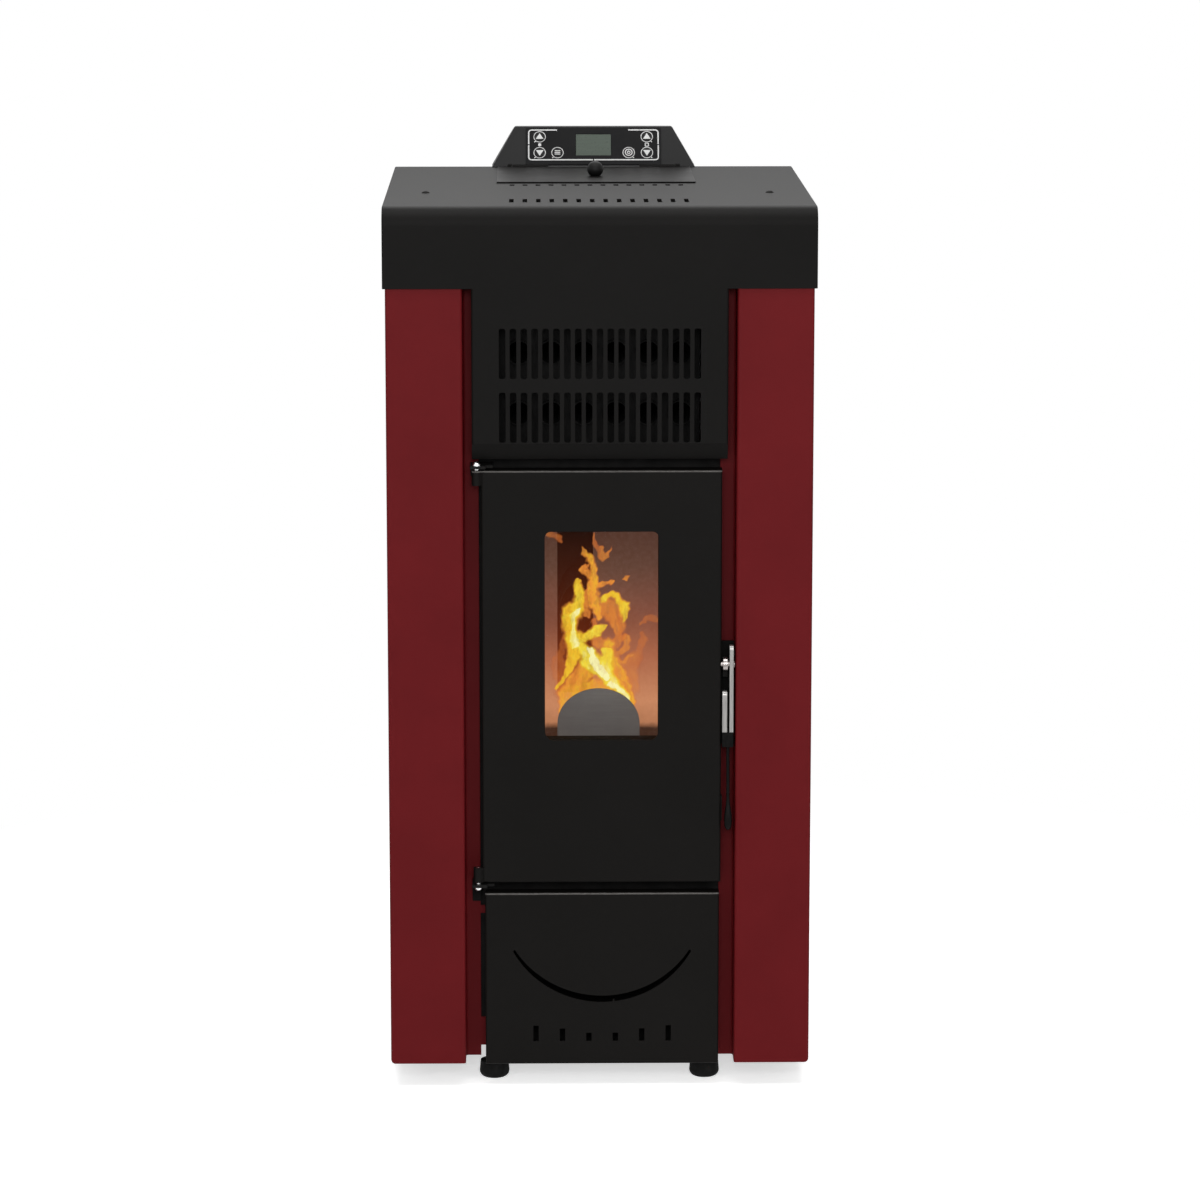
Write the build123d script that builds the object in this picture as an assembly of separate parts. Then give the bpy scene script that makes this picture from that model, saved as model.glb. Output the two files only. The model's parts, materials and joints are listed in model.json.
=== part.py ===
from build123d import *
import os
from math import radians, tan

# Free-standing pellet stove. While it is drawn, x runs to the right, y runs back from the
# front face of the top cover, and z runs up from the floor. All sizes are millimetres.

# ---------------------------------------------------------------- driving dimensions
SHEET = 2.0                 # cover, panels and door skins
PLATE = 3.0                 # firebox and front frame
THIN = 1.5                  # hopper, ducts and other light sheet
RUN = 0.05                  # radial clearance of a running fit
GAP = 0.3                   # least space between bodies that move apart

WIDTH = 480.0               # top cover, side to side
DEPTH = 520.0               # top cover, front to back
TOP = 1000.0                # upper face of the top plate
BEND = 20.0                 # outside radius of the cover's front bend
SKIRT = 910.0               # lower edge of the cover's front and cheeks
FASCIA_HALF = 142.0
FASCIA_FOLD = 738.0         # where the fascia turns back
FASCIA_BOTTOM = 719.0
FASCIA_FOLD_DEPTH = 12.0
FASCIA_DEPTH = 36.0

SCREW_X, SCREW_Y = 195.0, 173.0     # dome screws on the top plate
GRILLE_ROWS = ((810.0, 866.0), (739.0, 795.0))
GRILLE_COUNT, GRILLE_PITCH, GRILLE_SLOT = 19, 12.0, 7.3
VENT_COUNT, VENT_PITCH = 14, 15.0   # two rows of holes across the top plate
VENT_FRONT_Y, VENT_BACK_Y = (58.0, 98.0), (262.0, 278.0)

PANEL_OUT = 237.0           # outer face of the red side panels
PANEL_IN = 152.0            # inner edge of their front faces
PANEL_FRONT = 2.6
PANEL_LOW = 27.0
PANEL_HIGH = 978.0
FLANGE_Y = 38.0             # front of the inner flange
FLANGE_IN = 125.0
FLANGE_NOTCH_IN = 135.0
REAR_Y = 517.0              # front of the rear panel
REAR_SLOT = 7.0             # width of its upper slots
REAR_SLOT_ROWS = ((760.0, 800.0), (700.0, 740.0))
INTAKE_SLOT = 6.0           # width of the slots that feed the blower

POT_HALF = 40.0             # burn pot, side to side
POT_Y = (113.0, 207.0)
POT_Z = (318.0, 398.0)
POT_WALL = 4.0
EMBER_HALF = 47.0           # arched plate in front of the pot
EMBER_Y = (109.5, 112.5)
EMBER_SPRING, EMBER_TOP = 398.0, 439.0
IGNITER_Z = 362.0

BASE_LOW = 42.0
BASE_HIGH = BASE_LOW + SHEET
FRAME_Y = FLANGE_Y + SHEET  # front of the front frame
SHELL_Y = FRAME_Y + PLATE   # front of the firebox shell
SHELL_BACK = 285.0
SHELL_HALF = 112.0
SHELL_HIGH = 690.0
FLOOR_LOW = 340.0           # firebox floor
FLOOR_HIGH = FLOOR_LOW + PLATE
EXCHANGER_HIGH = 880.0
TUBE_R = 14.0
TUBE_X = [-90.0, -54.0, -18.0, 18.0, 54.0, 90.0]
TUBE_Z = [766.0, 834.0]
PORT_Y, PORT_Z = (182.0, 298.0), (802.0, 858.0)     # smoke's way out of the exchanger

DOOR_Y = 6.0                # front face of both doors
DOOR_LEFT, DOOR_RIGHT = -132.0, 136.0
DOOR_LOW, DOOR_HIGH = 237.0, 707.0
DOOR_DEEP = 22.0
DOOR_BEND = 2.6             # outside radius of the doors' bends
DOOR_MID = (DOOR_LEFT + DOOR_RIGHT) / 2
WINDOW_HALF = 63.5
WINDOW_LOW, WINDOW_HIGH = 401.0, 638.0
WINDOW_CORNERS = (10.0, 7.0)    # radius of the lower and the upper pair
GLASS = 4.0
HINGE_X, HINGE_Y = -137.0, 10.0
HINGE_R = 3.0
KNUCKLE_R = 5.5
KNUCKLE_LENGTH = 17.0
EARS = ((709.0, (697.0, 712.0)), (231.5, (209.0, 234.5)))   # foot of each hinge ear, span of its leg
EAR_THICK = 3.0
PIVOT_Y, PIVOT_Z = 10.0, 487.0
PIVOT_R = 3.0
ROLLER_R = 8.0
LATCH_X = (137.6, 143.4)    # the roller and the tongue that it hooks over
BAR_X, CHEEK_X = (145.2, 149.6), (137.2, 142.6)     # handle: long outer bar, short inner cheek
LEVER_Y = (4.0, 16.0)
BRIDGE_Z = (393.0, 410.0)
CHEEK_TOP, BAR_TOP = 457.0, 509.0
ROD_TOP, ROD_END = (143.8, 10.0, 396.0), (144.0, 5.0, 334.0)
ROD_R = 1.9

ASH_LEFT, ASH_RIGHT = -129.5, 134.5
ASH_LOW, ASH_HIGH = 25.0, 225.0
ASH_MID = (ASH_LEFT + ASH_RIGHT) / 2
ASH_DEEP = 18.0
ASH_HINGE_X, ASH_HINGE_Y = -121.0, 26.0
ASH_PIN_R = 2.5
ASH_EARS = (211.0, 60.0)
CRESCENT_LOW = (97.5, 105.0)    # lower and upper edge of the cut at its middle
CRESCENT_TIP = ((100.8, 157.0), (98.8, 158.8))   # where those edges end, from the middle
SLOT_LOW = 52.0             # feet of the six slots under the crescent
SLOTS = ((15.0, 9.5), (45.0, 14.5), (75.0, 18.0))    # distance from the middle, height

LID_FRONT = 292.0
LID_HALF = 115.5
LID_LOW = TOP + GAP
LID_THICK = 1.5
LID_PIN_Y, LID_PIN_Z = 501.0, 1001.0
LID_PIN_R = 1.5
LID_BARREL_R = 3.0
KNOB_Y = 371.0
KNOB_R = 9.5
KNOB_RISE = 7.8                             # of the ball's middle above the lid
KNOB_STUD_R = 2.0
MOUTH_HALF = 108.0          # hole in the top plate over the hopper
MOUTH_FRONT, MOUTH_BACK = 300.0, 505.5
HOPPER_HALF = 104.0
HOPPER_FRONT, HOPPER_BACK = 304.0, 496.0
HOPPER_BREAK = 860.0        # where the hopper starts to taper
HOPPER_NECK = 560.0
NECK_LOW = 495.0            # foot of the neck, inside the auger tube's outline
HOPPER_RIM = 12.0           # width of the rim under the top plate
GRID_Z = (920.0, 923.0)

POD_Y = 508.0               # foot of the pod's sloping face
POD_FOOT_HALF = 122.5
POD_TOP_HALF = 95.0
POD_HIGH = TOP + 46.8
POD_TILT = 30.0
POD_BACK = 556.0
POD_SKIRT = 955.0
PANEL_HALF = 81.5
PANEL_V = (2.5, 51.5)       # lower and upper edge up the slope
KEY_R = 6.5
KEY_PLACES = {
    "key_left_up": (-65.0, 39.5),
    "key_left_down": (-65.0, 18.5),
    "key_set": (-43.5, 18.5),
    "key_power": (42.5, 18.5),
    "key_right_up": (64.5, 39.5),
    "key_right_down": (64.5, 18.5),
}
LCD_HALF = 21.0
LCD_V = (15.0, 43.0)

FOOT_X = 120.0
FOOT_Y = [48.0, 470.0]
FOOT_R = 17.0
STUD_R = 4.0

FEED_X = -25.0              # line that the pellets follow, left of the middle
AUGER_LOW = (FEED_X, 440.0, 470.0)
AUGER_LENGTH = 184.0
AUGER_R = 27.0
AUGER_SHAFT_R = 6.0
CHUTE_TOP = (FEED_X, 325.0, 585.0)
CHUTE_R = 20.0
CHUTE_LENGTH = 140.0
CHUTE_FRONT = 272.0         # where the chute is trimmed, just behind the liner's face
CHANNEL_HALF = 21.0         # upright channel in the rear liner around the chute
CHANNEL_LOW = 400.0
FEED_Y = (397.0, 433.0)     # opening from the hopper into the auger tube
FEED_HALF = 20.0

FAN_Y, FAN_Z = 400.0, 190.0     # axis of both fans
FAN_SHAFT_R = 4.0
SMOKE_FAN_X = (-167.0, -92.0)
SMOKE_EYE_R = 35.0              # smoke's way from the duct into its fan
IMPELLER_R, IMPELLER_BLADES = 62.0, 10
BLOWER_X, BLOWER_R = (95.0, 165.0), 72.0
ROTOR_R, ROTOR_BLADES = 56.0, 20
SMOKE_DUCT_X, SMOKE_DUCT_Y = (-215.0, -167.0), (180.0, 300.0)
SMOKE_DUCT_LOW, SMOKE_DUCT_HIGH = 130.0, 860.0
AIR_DUCT_X, AIR_DUCT_Y = (118.0, 165.0), (328.0, 388.0)
AIR_DUCT_LOW, AIR_DUCT_HIGH = 290.0, 870.0
PLENUM_Y = (286.0, 301.0)       # flat box that shares the air among the tubes
FLUE_R = 40.0
FLUE_START = 482.0
FLUE_END = 585.0
FLUE_X, FLUE_Z = -129.5, 152.0
AIR_R = 25.0
AIR_END = 570.0
AIR_Z = 300.0

INLET_X = (180.0, 214.0)
INLET_Z = (68.0, 132.0)
ROCKER_Y, ROCKER_Z = 516.0, 114.0
ROCKER_X = (186.0, 208.0)
TRUNNION_R = 1.5


# ---------------------------------------------------------------- small helpers
def block(x, y, z):
    """Box between the pairs x, y and z."""
    size = [abs(pair[1] - pair[0]) for pair in (x, y, z)]
    middle = [(pair[0] + pair[1]) / 2 for pair in (x, y, z)]
    return Pos(*middle) * Box(*size)


def both_sides(x0, x1, y, z):
    """Two boxes, mirrored left and right."""
    return block((x0, x1), y, z) + block((-x1, -x0), y, z)


def rod_x(radius, x, y, z):
    place = Pos((x[0] + x[1]) / 2, y, z) * Rot(0, 90, 0)
    return place * Cylinder(radius, abs(x[1] - x[0]))


def rod_y(radius, x, y, z):
    place = Pos(x, (y[0] + y[1]) / 2, z) * Rot(90, 0, 0)
    return place * Cylinder(radius, abs(y[1] - y[0]))


def rod_z(radius, x, y, z):
    return Pos(x, y, (z[0] + z[1]) / 2) * Cylinder(radius, abs(z[1] - z[0]))


def side_shape(points, x):
    """Extrude a closed outline of (y, z) points between two x values."""
    face = Plane.YZ * make_face(Polyline(*points, close=True))
    return Pos(x[0], 0, 0) * extrude(face, x[1] - x[0])


def front_shape(points, y):
    """Extrude a closed outline of (x, z) points between two y values."""
    face = make_face(Polyline(*[(px, 0, pz) for px, pz in points], close=True))
    return Pos(0, y[0], 0) * extrude(face, y[1] - y[0], dir=(0, 1, 0))


def rounded_hole(x, z, y, low_r, high_r):
    """Prism along y with an upright rounded outline."""
    middle = ((x[0] + x[1]) / 2, (z[0] + z[1]) / 2)
    solid = Pos(middle[0], (y[0] + y[1]) / 2, middle[1]) * Box(x[1] - x[0], y[1] - y[0], z[1] - z[0])
    edges = solid.edges().filter_by(Axis.Y).sort_by(Axis.Z)
    solid = fillet(edges[:2], low_r)
    edges = solid.edges().filter_by(Axis.Y).filter_by(GeomType.LINE).sort_by(Axis.Z)
    return fillet(edges[-2:], high_r)


def slot_y(x, z, y, width):
    """Upright round-cornered slot cut along y."""
    return rounded_hole((x - width / 2, x + width / 2), z, y, width * 0.35, width * 0.35)


def mirror_x(shape):
    return mirror(shape, about=Plane.YZ)


# ---------------------------------------------------------------- casing
def cover_outline(inset):
    """Side view of the cover, drawn in by inset at the front and the top."""
    radius = BEND - inset
    front = Line((inset, SKIRT), (inset, TOP - BEND))
    turn = CenterArc((BEND, TOP - BEND), radius, 90, 90)
    roof = Line((BEND, TOP - inset), (DEPTH, TOP - inset))
    back = Line((DEPTH, TOP - inset), (DEPTH, SKIRT))
    foot = Line((DEPTH, SKIRT), (inset, SKIRT))
    return Plane.YZ * make_face([front, turn, roof, back, foot])


def top_cover():
    outer = extrude(cover_outline(0), WIDTH / 2, both=True)
    rim = []
    for side in (-1, 1):
        ends = outer.edges().filter_by_position(Axis.X, side * WIDTH / 2 - 0.1, side * WIDTH / 2 + 0.1)
        rim += [e for e in ends if e.center().Z > SKIRT + 1 and e.center().Y < DEPTH - 1]
    outer = fillet(rim, SHEET * 0.9)
    inner = extrude(cover_outline(SHEET), WIDTH / 2 - SHEET, both=True)
    fold = FASCIA_FOLD_DEPTH
    high = SKIRT + 30
    low, deep = FASCIA_BOTTOM, FASCIA_DEPTH
    shape = [(0, high), (0, FASCIA_FOLD), (fold, low), (deep, low), (deep, high)]
    fascia = side_shape(shape, (-FASCIA_HALF, FASCIA_HALF))
    uprights = fascia.edges().filter_by(Axis.Z).sort_by(Axis.Y)[:2]
    fascia = fillet(uprights, SHEET * 1.5)
    hollow = [
        (SHEET, high + 1),
        (SHEET, FASCIA_FOLD + 1),
        (fold + 1, low + SHEET),
        (deep + 1, low + SHEET),
        (deep + 1, high + 1),
    ]
    fascia -= side_shape(hollow, (-FASCIA_HALF + SHEET, FASCIA_HALF - SHEET))
    fascia -= block((-FASCIA_HALF - 1, FASCIA_HALF + 1), (SHEET, deep + 1), (SKIRT, high + 1))
    cover = outer - inner + fascia
    for row in GRILLE_ROWS:
        for index in range(GRILLE_COUNT):
            x = (index - (GRILLE_COUNT - 1) / 2) * GRILLE_PITCH
            cover -= slot_y(x, row, (-1, SHEET + 1), GRILLE_SLOT)
    roof = (TOP - SHEET - 1, TOP + 1)
    for index in range(VENT_COUNT):
        x = (index - (VENT_COUNT - 1) / 2) * VENT_PITCH
        cover -= block((x - 2.5, x + 2.5), VENT_FRONT_Y, roof)
        cover -= block((x - 2.75, x + 2.75), VENT_BACK_Y, roof)
    for x in (-SCREW_X, SCREW_X):
        cover -= rod_z(2.6, x, SCREW_Y, roof)
    cover -= block((-MOUTH_HALF, MOUTH_HALF), (MOUTH_FRONT, MOUTH_BACK), roof)
    for side in (-1, 1):
        ear = block((side * 98.6, side * 103.6), (497, MOUTH_BACK + 1.5), (TOP - SHEET, TOP + 4.4))
        cover += ear - rod_x(LID_PIN_R + RUN, (side * 90, side * 110), LID_PIN_Y, LID_PIN_Z)
    return cover


def cover_screws():
    screws = Part()
    for x in (-SCREW_X, SCREW_X):
        dome = Pos(x, SCREW_Y, TOP - 3.5) * Sphere(6.0) & rod_z(6, x, SCREW_Y, (TOP, TOP + 10))
        screws += dome + rod_z(2.4, x, SCREW_Y, (TOP - 14, TOP))
    return screws


def right_side_panel():
    path = FilletPolyline(
        (215, REAR_Y),
        (PANEL_OUT, REAR_Y),
        (PANEL_OUT, PANEL_FRONT),
        (PANEL_IN, PANEL_FRONT),
        (PANEL_IN, FLANGE_Y),
        (FLANGE_IN, FLANGE_Y),
        radius=3,
    )
    plan = make_face(offset(path, amount=SHEET, side=Side.RIGHT))
    panel = Pos(0, 0, PANEL_LOW) * extrude(plan, PANEL_HIGH - PANEL_LOW)
    narrow = (FLANGE_IN - 1, FLANGE_NOTCH_IN)
    band = (FLANGE_Y - 1, FRAME_Y + 1)
    panel -= block(narrow, band, (72, 194))
    panel -= block(narrow, band, (203, PANEL_HIGH + 1))
    panel -= block(narrow, band, (PANEL_LOW - 1, 39))
    corner = block((PANEL_OUT - 5, PANEL_OUT + 1), (0, DEPTH), (PANEL_LOW - 1, PANEL_LOW + 5))
    corner -= rod_y(5, PANEL_OUT - 5, (-1, DEPTH + 1), PANEL_LOW + 5)
    return panel - corner


def left_side_panel():
    return mirror_x(right_side_panel())


def rear_panel():
    y = (REAR_Y, REAR_Y + SHEET)
    cut = (REAR_Y - 1, REAR_Y + SHEET + 1)
    panel = block((-236, 236), y, (32, TOP - SHEET))
    panel -= rod_y(FLUE_R + 1.5, FLUE_X, cut, FLUE_Z)
    panel -= rod_y(AIR_R + 1.0, 0, cut, AIR_Z)
    panel -= block((INLET_X[0] - 0.2, INLET_X[1] + 0.2), cut, (INLET_Z[0] - 0.2, INLET_Z[1] + 0.2))
    for column in range(9):
        for row in range(4):
            x = 90 + column * 14.0
            sides = (x - INTAKE_SLOT / 2, x + INTAKE_SLOT / 2)
            ends = INTAKE_SLOT / 2 - 0.1
            panel -= rounded_hole(sides, (170 + row * 45, 200 + row * 45), cut, ends, ends)
    for column in range(17):
        x = (column - 8) * 18.0
        sides = (x - REAR_SLOT / 2, x + REAR_SLOT / 2)
        ends = REAR_SLOT / 2 - 0.1
        for row in REAR_SLOT_ROWS:
            panel -= rounded_hole(sides, row, cut, ends, ends)
    return panel


def base_plate():
    half = PANEL_OUT - SHEET - 0.2
    plate = block((-half, half), (FRAME_Y, REAR_Y - SHEET - 0.2), (BASE_LOW, BASE_HIGH))
    plate = chamfer(plate.edges().filter_by(Axis.Z).sort_by(Axis.Y)[-2:], 2)
    plate += both_sides(half - SHEET, half, (60, 505), (BASE_HIGH - 1, BASE_HIGH + 22))
    for x in (-FOOT_X, FOOT_X):
        for y in FOOT_Y:
            plate -= rod_z(STUD_R + 0.2, x, y, (BASE_LOW - 1, BASE_HIGH + 1))
    plate -= block((-90, 90), (300, 360), (BASE_LOW - 1, BASE_HIGH + 1))
    return plate


def foot_outline():
    """Half section of a domed foot, from its axis outwards."""
    low = Line((0, 0), (FOOT_R - 5, 0))
    dome = ThreePointArc((FOOT_R - 5, 0), (FOOT_R - 1, 3.2), (FOOT_R, 8))
    side = Line((FOOT_R, 8), (FOOT_R - 1, 19))
    top = Line((FOOT_R - 1, 19), (STUD_R + 0.02, 19))
    bore = Line((STUD_R + 0.02, 19), (STUD_R + 0.02, 8))
    seat = Line((STUD_R + 0.02, 8), (0, 8))
    axis = Line((0, 8), (0, 0))
    return make_face([low, dome, side, top, bore, seat, axis])


def levelling_feet():
    foot = revolve(Plane.XZ * foot_outline(), Axis.Z)
    return Compound(children=[Pos(x, y, 0) * foot for x in (-FOOT_X, FOOT_X) for y in FOOT_Y])


def foot_studs():
    nut = extrude(RegularPolygon(7.5, 6), 6.5) - Cylinder(STUD_R + RUN, 20)
    pieces = []
    for x in (-FOOT_X, FOOT_X):
        for y in FOOT_Y:
            pieces.append(rod_z(STUD_R, x, y, (8, BASE_HIGH + 5)))
            pieces.append(Pos(x, y, BASE_LOW - 6.5) * nut)
    return Compound(children=pieces)


def front_frame():
    y = (FRAME_Y, SHELL_Y)
    cut = (FRAME_Y - 1, SHELL_Y + 1)
    frame = block((-150, 150), y, (BASE_HIGH, 720))
    frame -= rounded_hole((DOOR_MID - 100, DOOR_MID + 100), (290, 668), cut, 6, 6)
    frame -= block((-104, 104), cut, (62, 206))
    into = FRAME_Y + 0.5
    for low, leg in EARS:
        z = (low, low + EAR_THICK)
        ear = block((-133.5, -119), (12, into), z)
        ear += block((-144, -127), (3, 37), z)
        ear += block((-144, -134.5), (35, 37.5), leg)
        frame += ear - rod_z(HINGE_R + 0.02, HINGE_X, HINGE_Y, (low - 1, low + EAR_THICK + 1))
    for low in ASH_EARS:
        ear = block((-125, -114), (21, into), (low, low + EAR_THICK))
        frame += ear - rod_z(ASH_PIN_R + 0.02, ASH_HINGE_X, ASH_HINGE_Y, (low - 1, low + EAR_THICK + 1))
    return frame


# ---------------------------------------------------------------- firebox
def tilted(point, angle):
    """Place at a point with local z turned about x by angle."""
    return Pos(*point) * Rot(angle, 0, 0)


AUGER_PLACE = tilted(AUGER_LOW, 45)     # local z runs up and forwards along the auger
CHUTE_PLACE = tilted(CHUTE_TOP, 150)    # local z runs down and forwards along the chute


def chute_core(radius):
    return CHUTE_PLACE * Pos(0, 0, CHUTE_LENGTH / 2) * Cylinder(radius, CHUTE_LENGTH)


def firebox_shell():
    shell = block((-SHELL_HALF, SHELL_HALF), (SHELL_Y, SHELL_BACK), (BASE_HIGH, SHELL_HIGH))
    inner = SHELL_HALF - PLATE
    back = SHELL_BACK - PLATE
    shell -= block((-inner, inner), (SHELL_Y - 1, back), (BASE_HIGH - 1, FLOOR_LOW))
    shell -= block((-inner, inner), (SHELL_Y - 1, back), (FLOOR_HIGH, SHELL_HIGH + 1))
    shell -= block((-41, 41), (112, 208.5), (FLOOR_LOW - 1, FLOOR_HIGH + 1))
    shell -= block((-90, 90), (52, 92), (FLOOR_LOW - 1, FLOOR_HIGH + 1))
    air_box = block((-54, 54), (100, back + 1), (268, FLOOR_LOW))
    shell += air_box - block((-51, 51), (103, back), (271, FLOOR_LOW))
    shell -= rod_y(AIR_R - THIN, 0, (back - 1, SHELL_BACK + 1), AIR_Z)
    shell -= rod_y(6.3, 0, (back - 1, SHELL_BACK + 1), IGNITER_Z)
    return shell - chute_core(CHUTE_R + GAP)


def firebox_liners():
    high = 640
    low = FLOOR_HIGH
    back = SHELL_BACK - PLATE
    side = block((97, 109), (SHELL_Y + 1, back), (low, high))
    rear = block((-96.7, 96.7), (back - 12, back), (low, high))
    channel = (FEED_X - CHANNEL_HALF, FEED_X + CHANNEL_HALF)
    rear -= block(channel, (back - 13, back + 1), (CHANNEL_LOW, high + 1))
    for index in range(4):
        y = 80 + index * 48.0
        side -= block((96, 99.5), (y - 2, y + 2), (low + 20, high - 20))
    rear -= rod_y(6.3, 0, (back - 14, back + 1), IGNITER_Z)
    return Compound(children=[side, mirror_x(side), rear])


def baffle_plate():
    plate = block((-106, 106), (84, 281.5), (640.2, 644.2))
    plate += block((-106, 106), (84, 88), (640.2, 664))
    return plate


def burn_pot():
    pot = block((-POT_HALF, POT_HALF), POT_Y, POT_Z)
    pot += block((-46, 46), (108, 210), (FLOOR_HIGH + GAP, FLOOR_HIGH + GAP + 3))
    inner = POT_HALF - POT_WALL
    floor = POT_Z[0] + POT_WALL
    pot -= block((-inner, inner), (POT_Y[0] + POT_WALL, POT_Y[1] - POT_WALL), (floor, POT_Z[1] + 1))
    for column in range(5):
        x = (column - 2) * 14.0
        for row in range(4):
            pot -= rod_z(3, x, 130 + row * 20.0, (POT_Z[0] - 2, floor + 2))
        pot -= rod_y(2.5, x, (POT_Y[1] - 6, POT_Y[1] + 2), IGNITER_Z)
    return pot


def ember_plate():
    """Upright plate with an arched top, standing on the pot's rim plate."""
    low = FLOOR_HIGH + GAP + 3.1
    face = Plane((0, EMBER_Y[1], EMBER_SPRING), x_dir=(1, 0, 0), z_dir=(0, -1, 0))
    oval = extrude(face * Ellipse(EMBER_HALF, EMBER_TOP - EMBER_SPRING), EMBER_Y[1] - EMBER_Y[0])
    arch = oval & block((-50, 50), (100, 120), (EMBER_SPRING, EMBER_TOP + 1))
    return arch + block((-EMBER_HALF, EMBER_HALF), EMBER_Y, (low, EMBER_SPRING))


def igniter():
    rod = rod_y(6, 0, (POT_Y[1] + 5.5, 330), IGNITER_Z)
    return rod + rod_y(9.5, 0, (300, 326), IGNITER_Z)


def exchanger_shell():
    y = (50, SHELL_BACK)
    z = (SHELL_HIGH, EXCHANGER_HIGH)
    shell = block((-SHELL_HALF, SHELL_HALF), y, z)
    inner = SHELL_HALF - SHEET
    shell -= block((-inner, inner), (y[0] + SHEET, y[1] - SHEET), (z[0] - 1, z[1] - SHEET))
    shell -= block((-SHELL_HALF - 1, -inner + 1), PORT_Y, PORT_Z)
    for x in TUBE_X:
        for tube_z in TUBE_Z:
            shell -= rod_y(TUBE_R + 0.02, x, (y[0] - 1, y[1] + 1), tube_z)
    return shell


def exchanger_tubes():
    tubes = []
    for x in TUBE_X:
        for z in TUBE_Z:
            y = (44, SHELL_BACK + 1)
            tubes.append(rod_y(TUBE_R, x, y, z) - rod_y(TUBE_R - THIN, x, (y[0] - 1, y[1] + 1), z))
    return Compound(children=tubes)


def ash_pan():
    pan = block((-97, 97), (56, 262), (BASE_HIGH, 140))
    pan -= block((-95.8, 95.8), (57.2, 260.8), (BASE_HIGH + 1.2, 141))
    grip = block((-40, 40), (48, 56.5), (112, 124)) - block((-34, 34), (51, 57), (111, 121))
    return pan + grip


# ---------------------------------------------------------------- pellet feed
def mitred_walls(low, high, thick):
    """Four flat walls between two upright-stacked rectangles, mitred where they meet.

    A rectangle is its middle x and y, half its width and depth, and its height z.
    """
    corners = ((-1, -1), (1, -1), (1, 1), (-1, 1))
    walls = []
    for index in range(4):
        pair = (corners[index], corners[(index + 1) % 4])
        ends = []
        for x, y, half_x, half_y, z in (low, high):
            outer = [(x + sx * half_x, y + sy * half_y, z) for sx, sy in pair]
            inner = [(x + sx * (half_x - thick), y + sy * (half_y - thick), z) for sx, sy in pair]
            ends.append(make_face(Polyline(*outer, *reversed(inner), close=True)))
        walls.append(loft(ends, ruled=True))
    return walls


def auger_core(radius, low, high):
    return AUGER_PLACE * Pos(0, 0, (low + high) / 2) * Cylinder(radius, high - low)


def hopper():
    """Rim, straight walls, tapered walls and neck, each of four welded sheets."""
    middle_y = (HOPPER_FRONT + HOPPER_BACK) / 2
    half_y = (HOPPER_BACK - HOPPER_FRONT) / 2
    neck_half = FEED_HALF + THIN
    neck_y = (FEED_Y[0] + FEED_Y[1]) / 2
    neck_half_y = (FEED_Y[1] - FEED_Y[0]) / 2 + THIN
    rim_low, rim_high = TOP - SHEET - THIN, TOP - SHEET
    rim = (0, middle_y, HOPPER_HALF + HOPPER_RIM - 1, half_y + HOPPER_RIM - 4)
    store = (0, middle_y, HOPPER_HALF, half_y)
    neck = (FEED_X, neck_y, neck_half, neck_half_y)
    walls = mitred_walls((*rim, rim_low), (*rim, rim_high), HOPPER_RIM)
    walls += mitred_walls((*store, HOPPER_BREAK), (*store, rim_low), THIN)
    walls += mitred_walls((*neck, HOPPER_NECK), (*store, HOPPER_BREAK), THIN)
    for wall in mitred_walls((*neck, NECK_LOW), (*neck, HOPPER_NECK), THIN):
        walls.append(wall - auger_core(AUGER_R, -20, AUGER_LENGTH + 20))
    return Compound(children=walls)


def hopper_grid():
    grid = Part()
    half = HOPPER_HALF - THIN - 0.2
    front, back = HOPPER_FRONT + THIN + 0.2, HOPPER_BACK - THIN - 0.2
    z = GRID_Z
    grid += block((-half, half), (front, front + 3), z) + block((-half, half), (back - 3, back), z)
    grid += both_sides(half - 3, half, (front, back), z)
    for index in range(5):
        x = (index - 2) * 34.0
        grid += block((x - 1.5, x + 1.5), (front, back), z)
    for index in range(4):
        y = front + (index + 1) * (back - front) / 5
        grid += block((-half, half), (y - 1.5, y + 1.5), z)
    return grid


def auger_tube():
    tube = auger_core(AUGER_R, 0, AUGER_LENGTH) - auger_core(AUGER_R - SHEET, 3, AUGER_LENGTH - 3)
    tube -= auger_core(AUGER_SHAFT_R + RUN, -1, AUGER_LENGTH + 1)
    tube -= chute_core(CHUTE_R - THIN)
    return tube - block((FEED_X - FEED_HALF, FEED_X + FEED_HALF), FEED_Y, (AUGER_LOW[2] + 22, 620))


def auger_screw():
    shaft = Pos(0, 0, (AUGER_LENGTH - 20) / 2) * Cylinder(AUGER_SHAFT_R, AUGER_LENGTH + 20)
    pitch, height, reach = 36.0, 150.0, AUGER_R - SHEET - 2
    middle = (AUGER_SHAFT_R - 1 + reach) / 2
    path = Helix(pitch, height, middle)
    section = Plane(origin=path @ 0, x_dir=(1, 0, 0), z_dir=path % 0)
    section *= Rectangle(reach - AUGER_SHAFT_R + 1, 3)
    flight = sweep(section, path=path, is_frenet=True)
    return AUGER_PLACE * (shaft + Pos(0, 0, 14) * flight)


def auger_motor():
    gears = auger_core(29, -32, 0)
    motor = auger_core(25, -70, -32)
    return gears + motor - auger_core(AUGER_SHAFT_R + RUN, -22, 1)


def pellet_chute():
    pipe = chute_core(CHUTE_R) - chute_core(CHUTE_R - THIN)
    pipe -= block((FEED_X - 30, FEED_X + 30), (200, CHUTE_FRONT), (400, 600))
    return pipe - auger_core(AUGER_R, -20, AUGER_LENGTH + 20)


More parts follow.
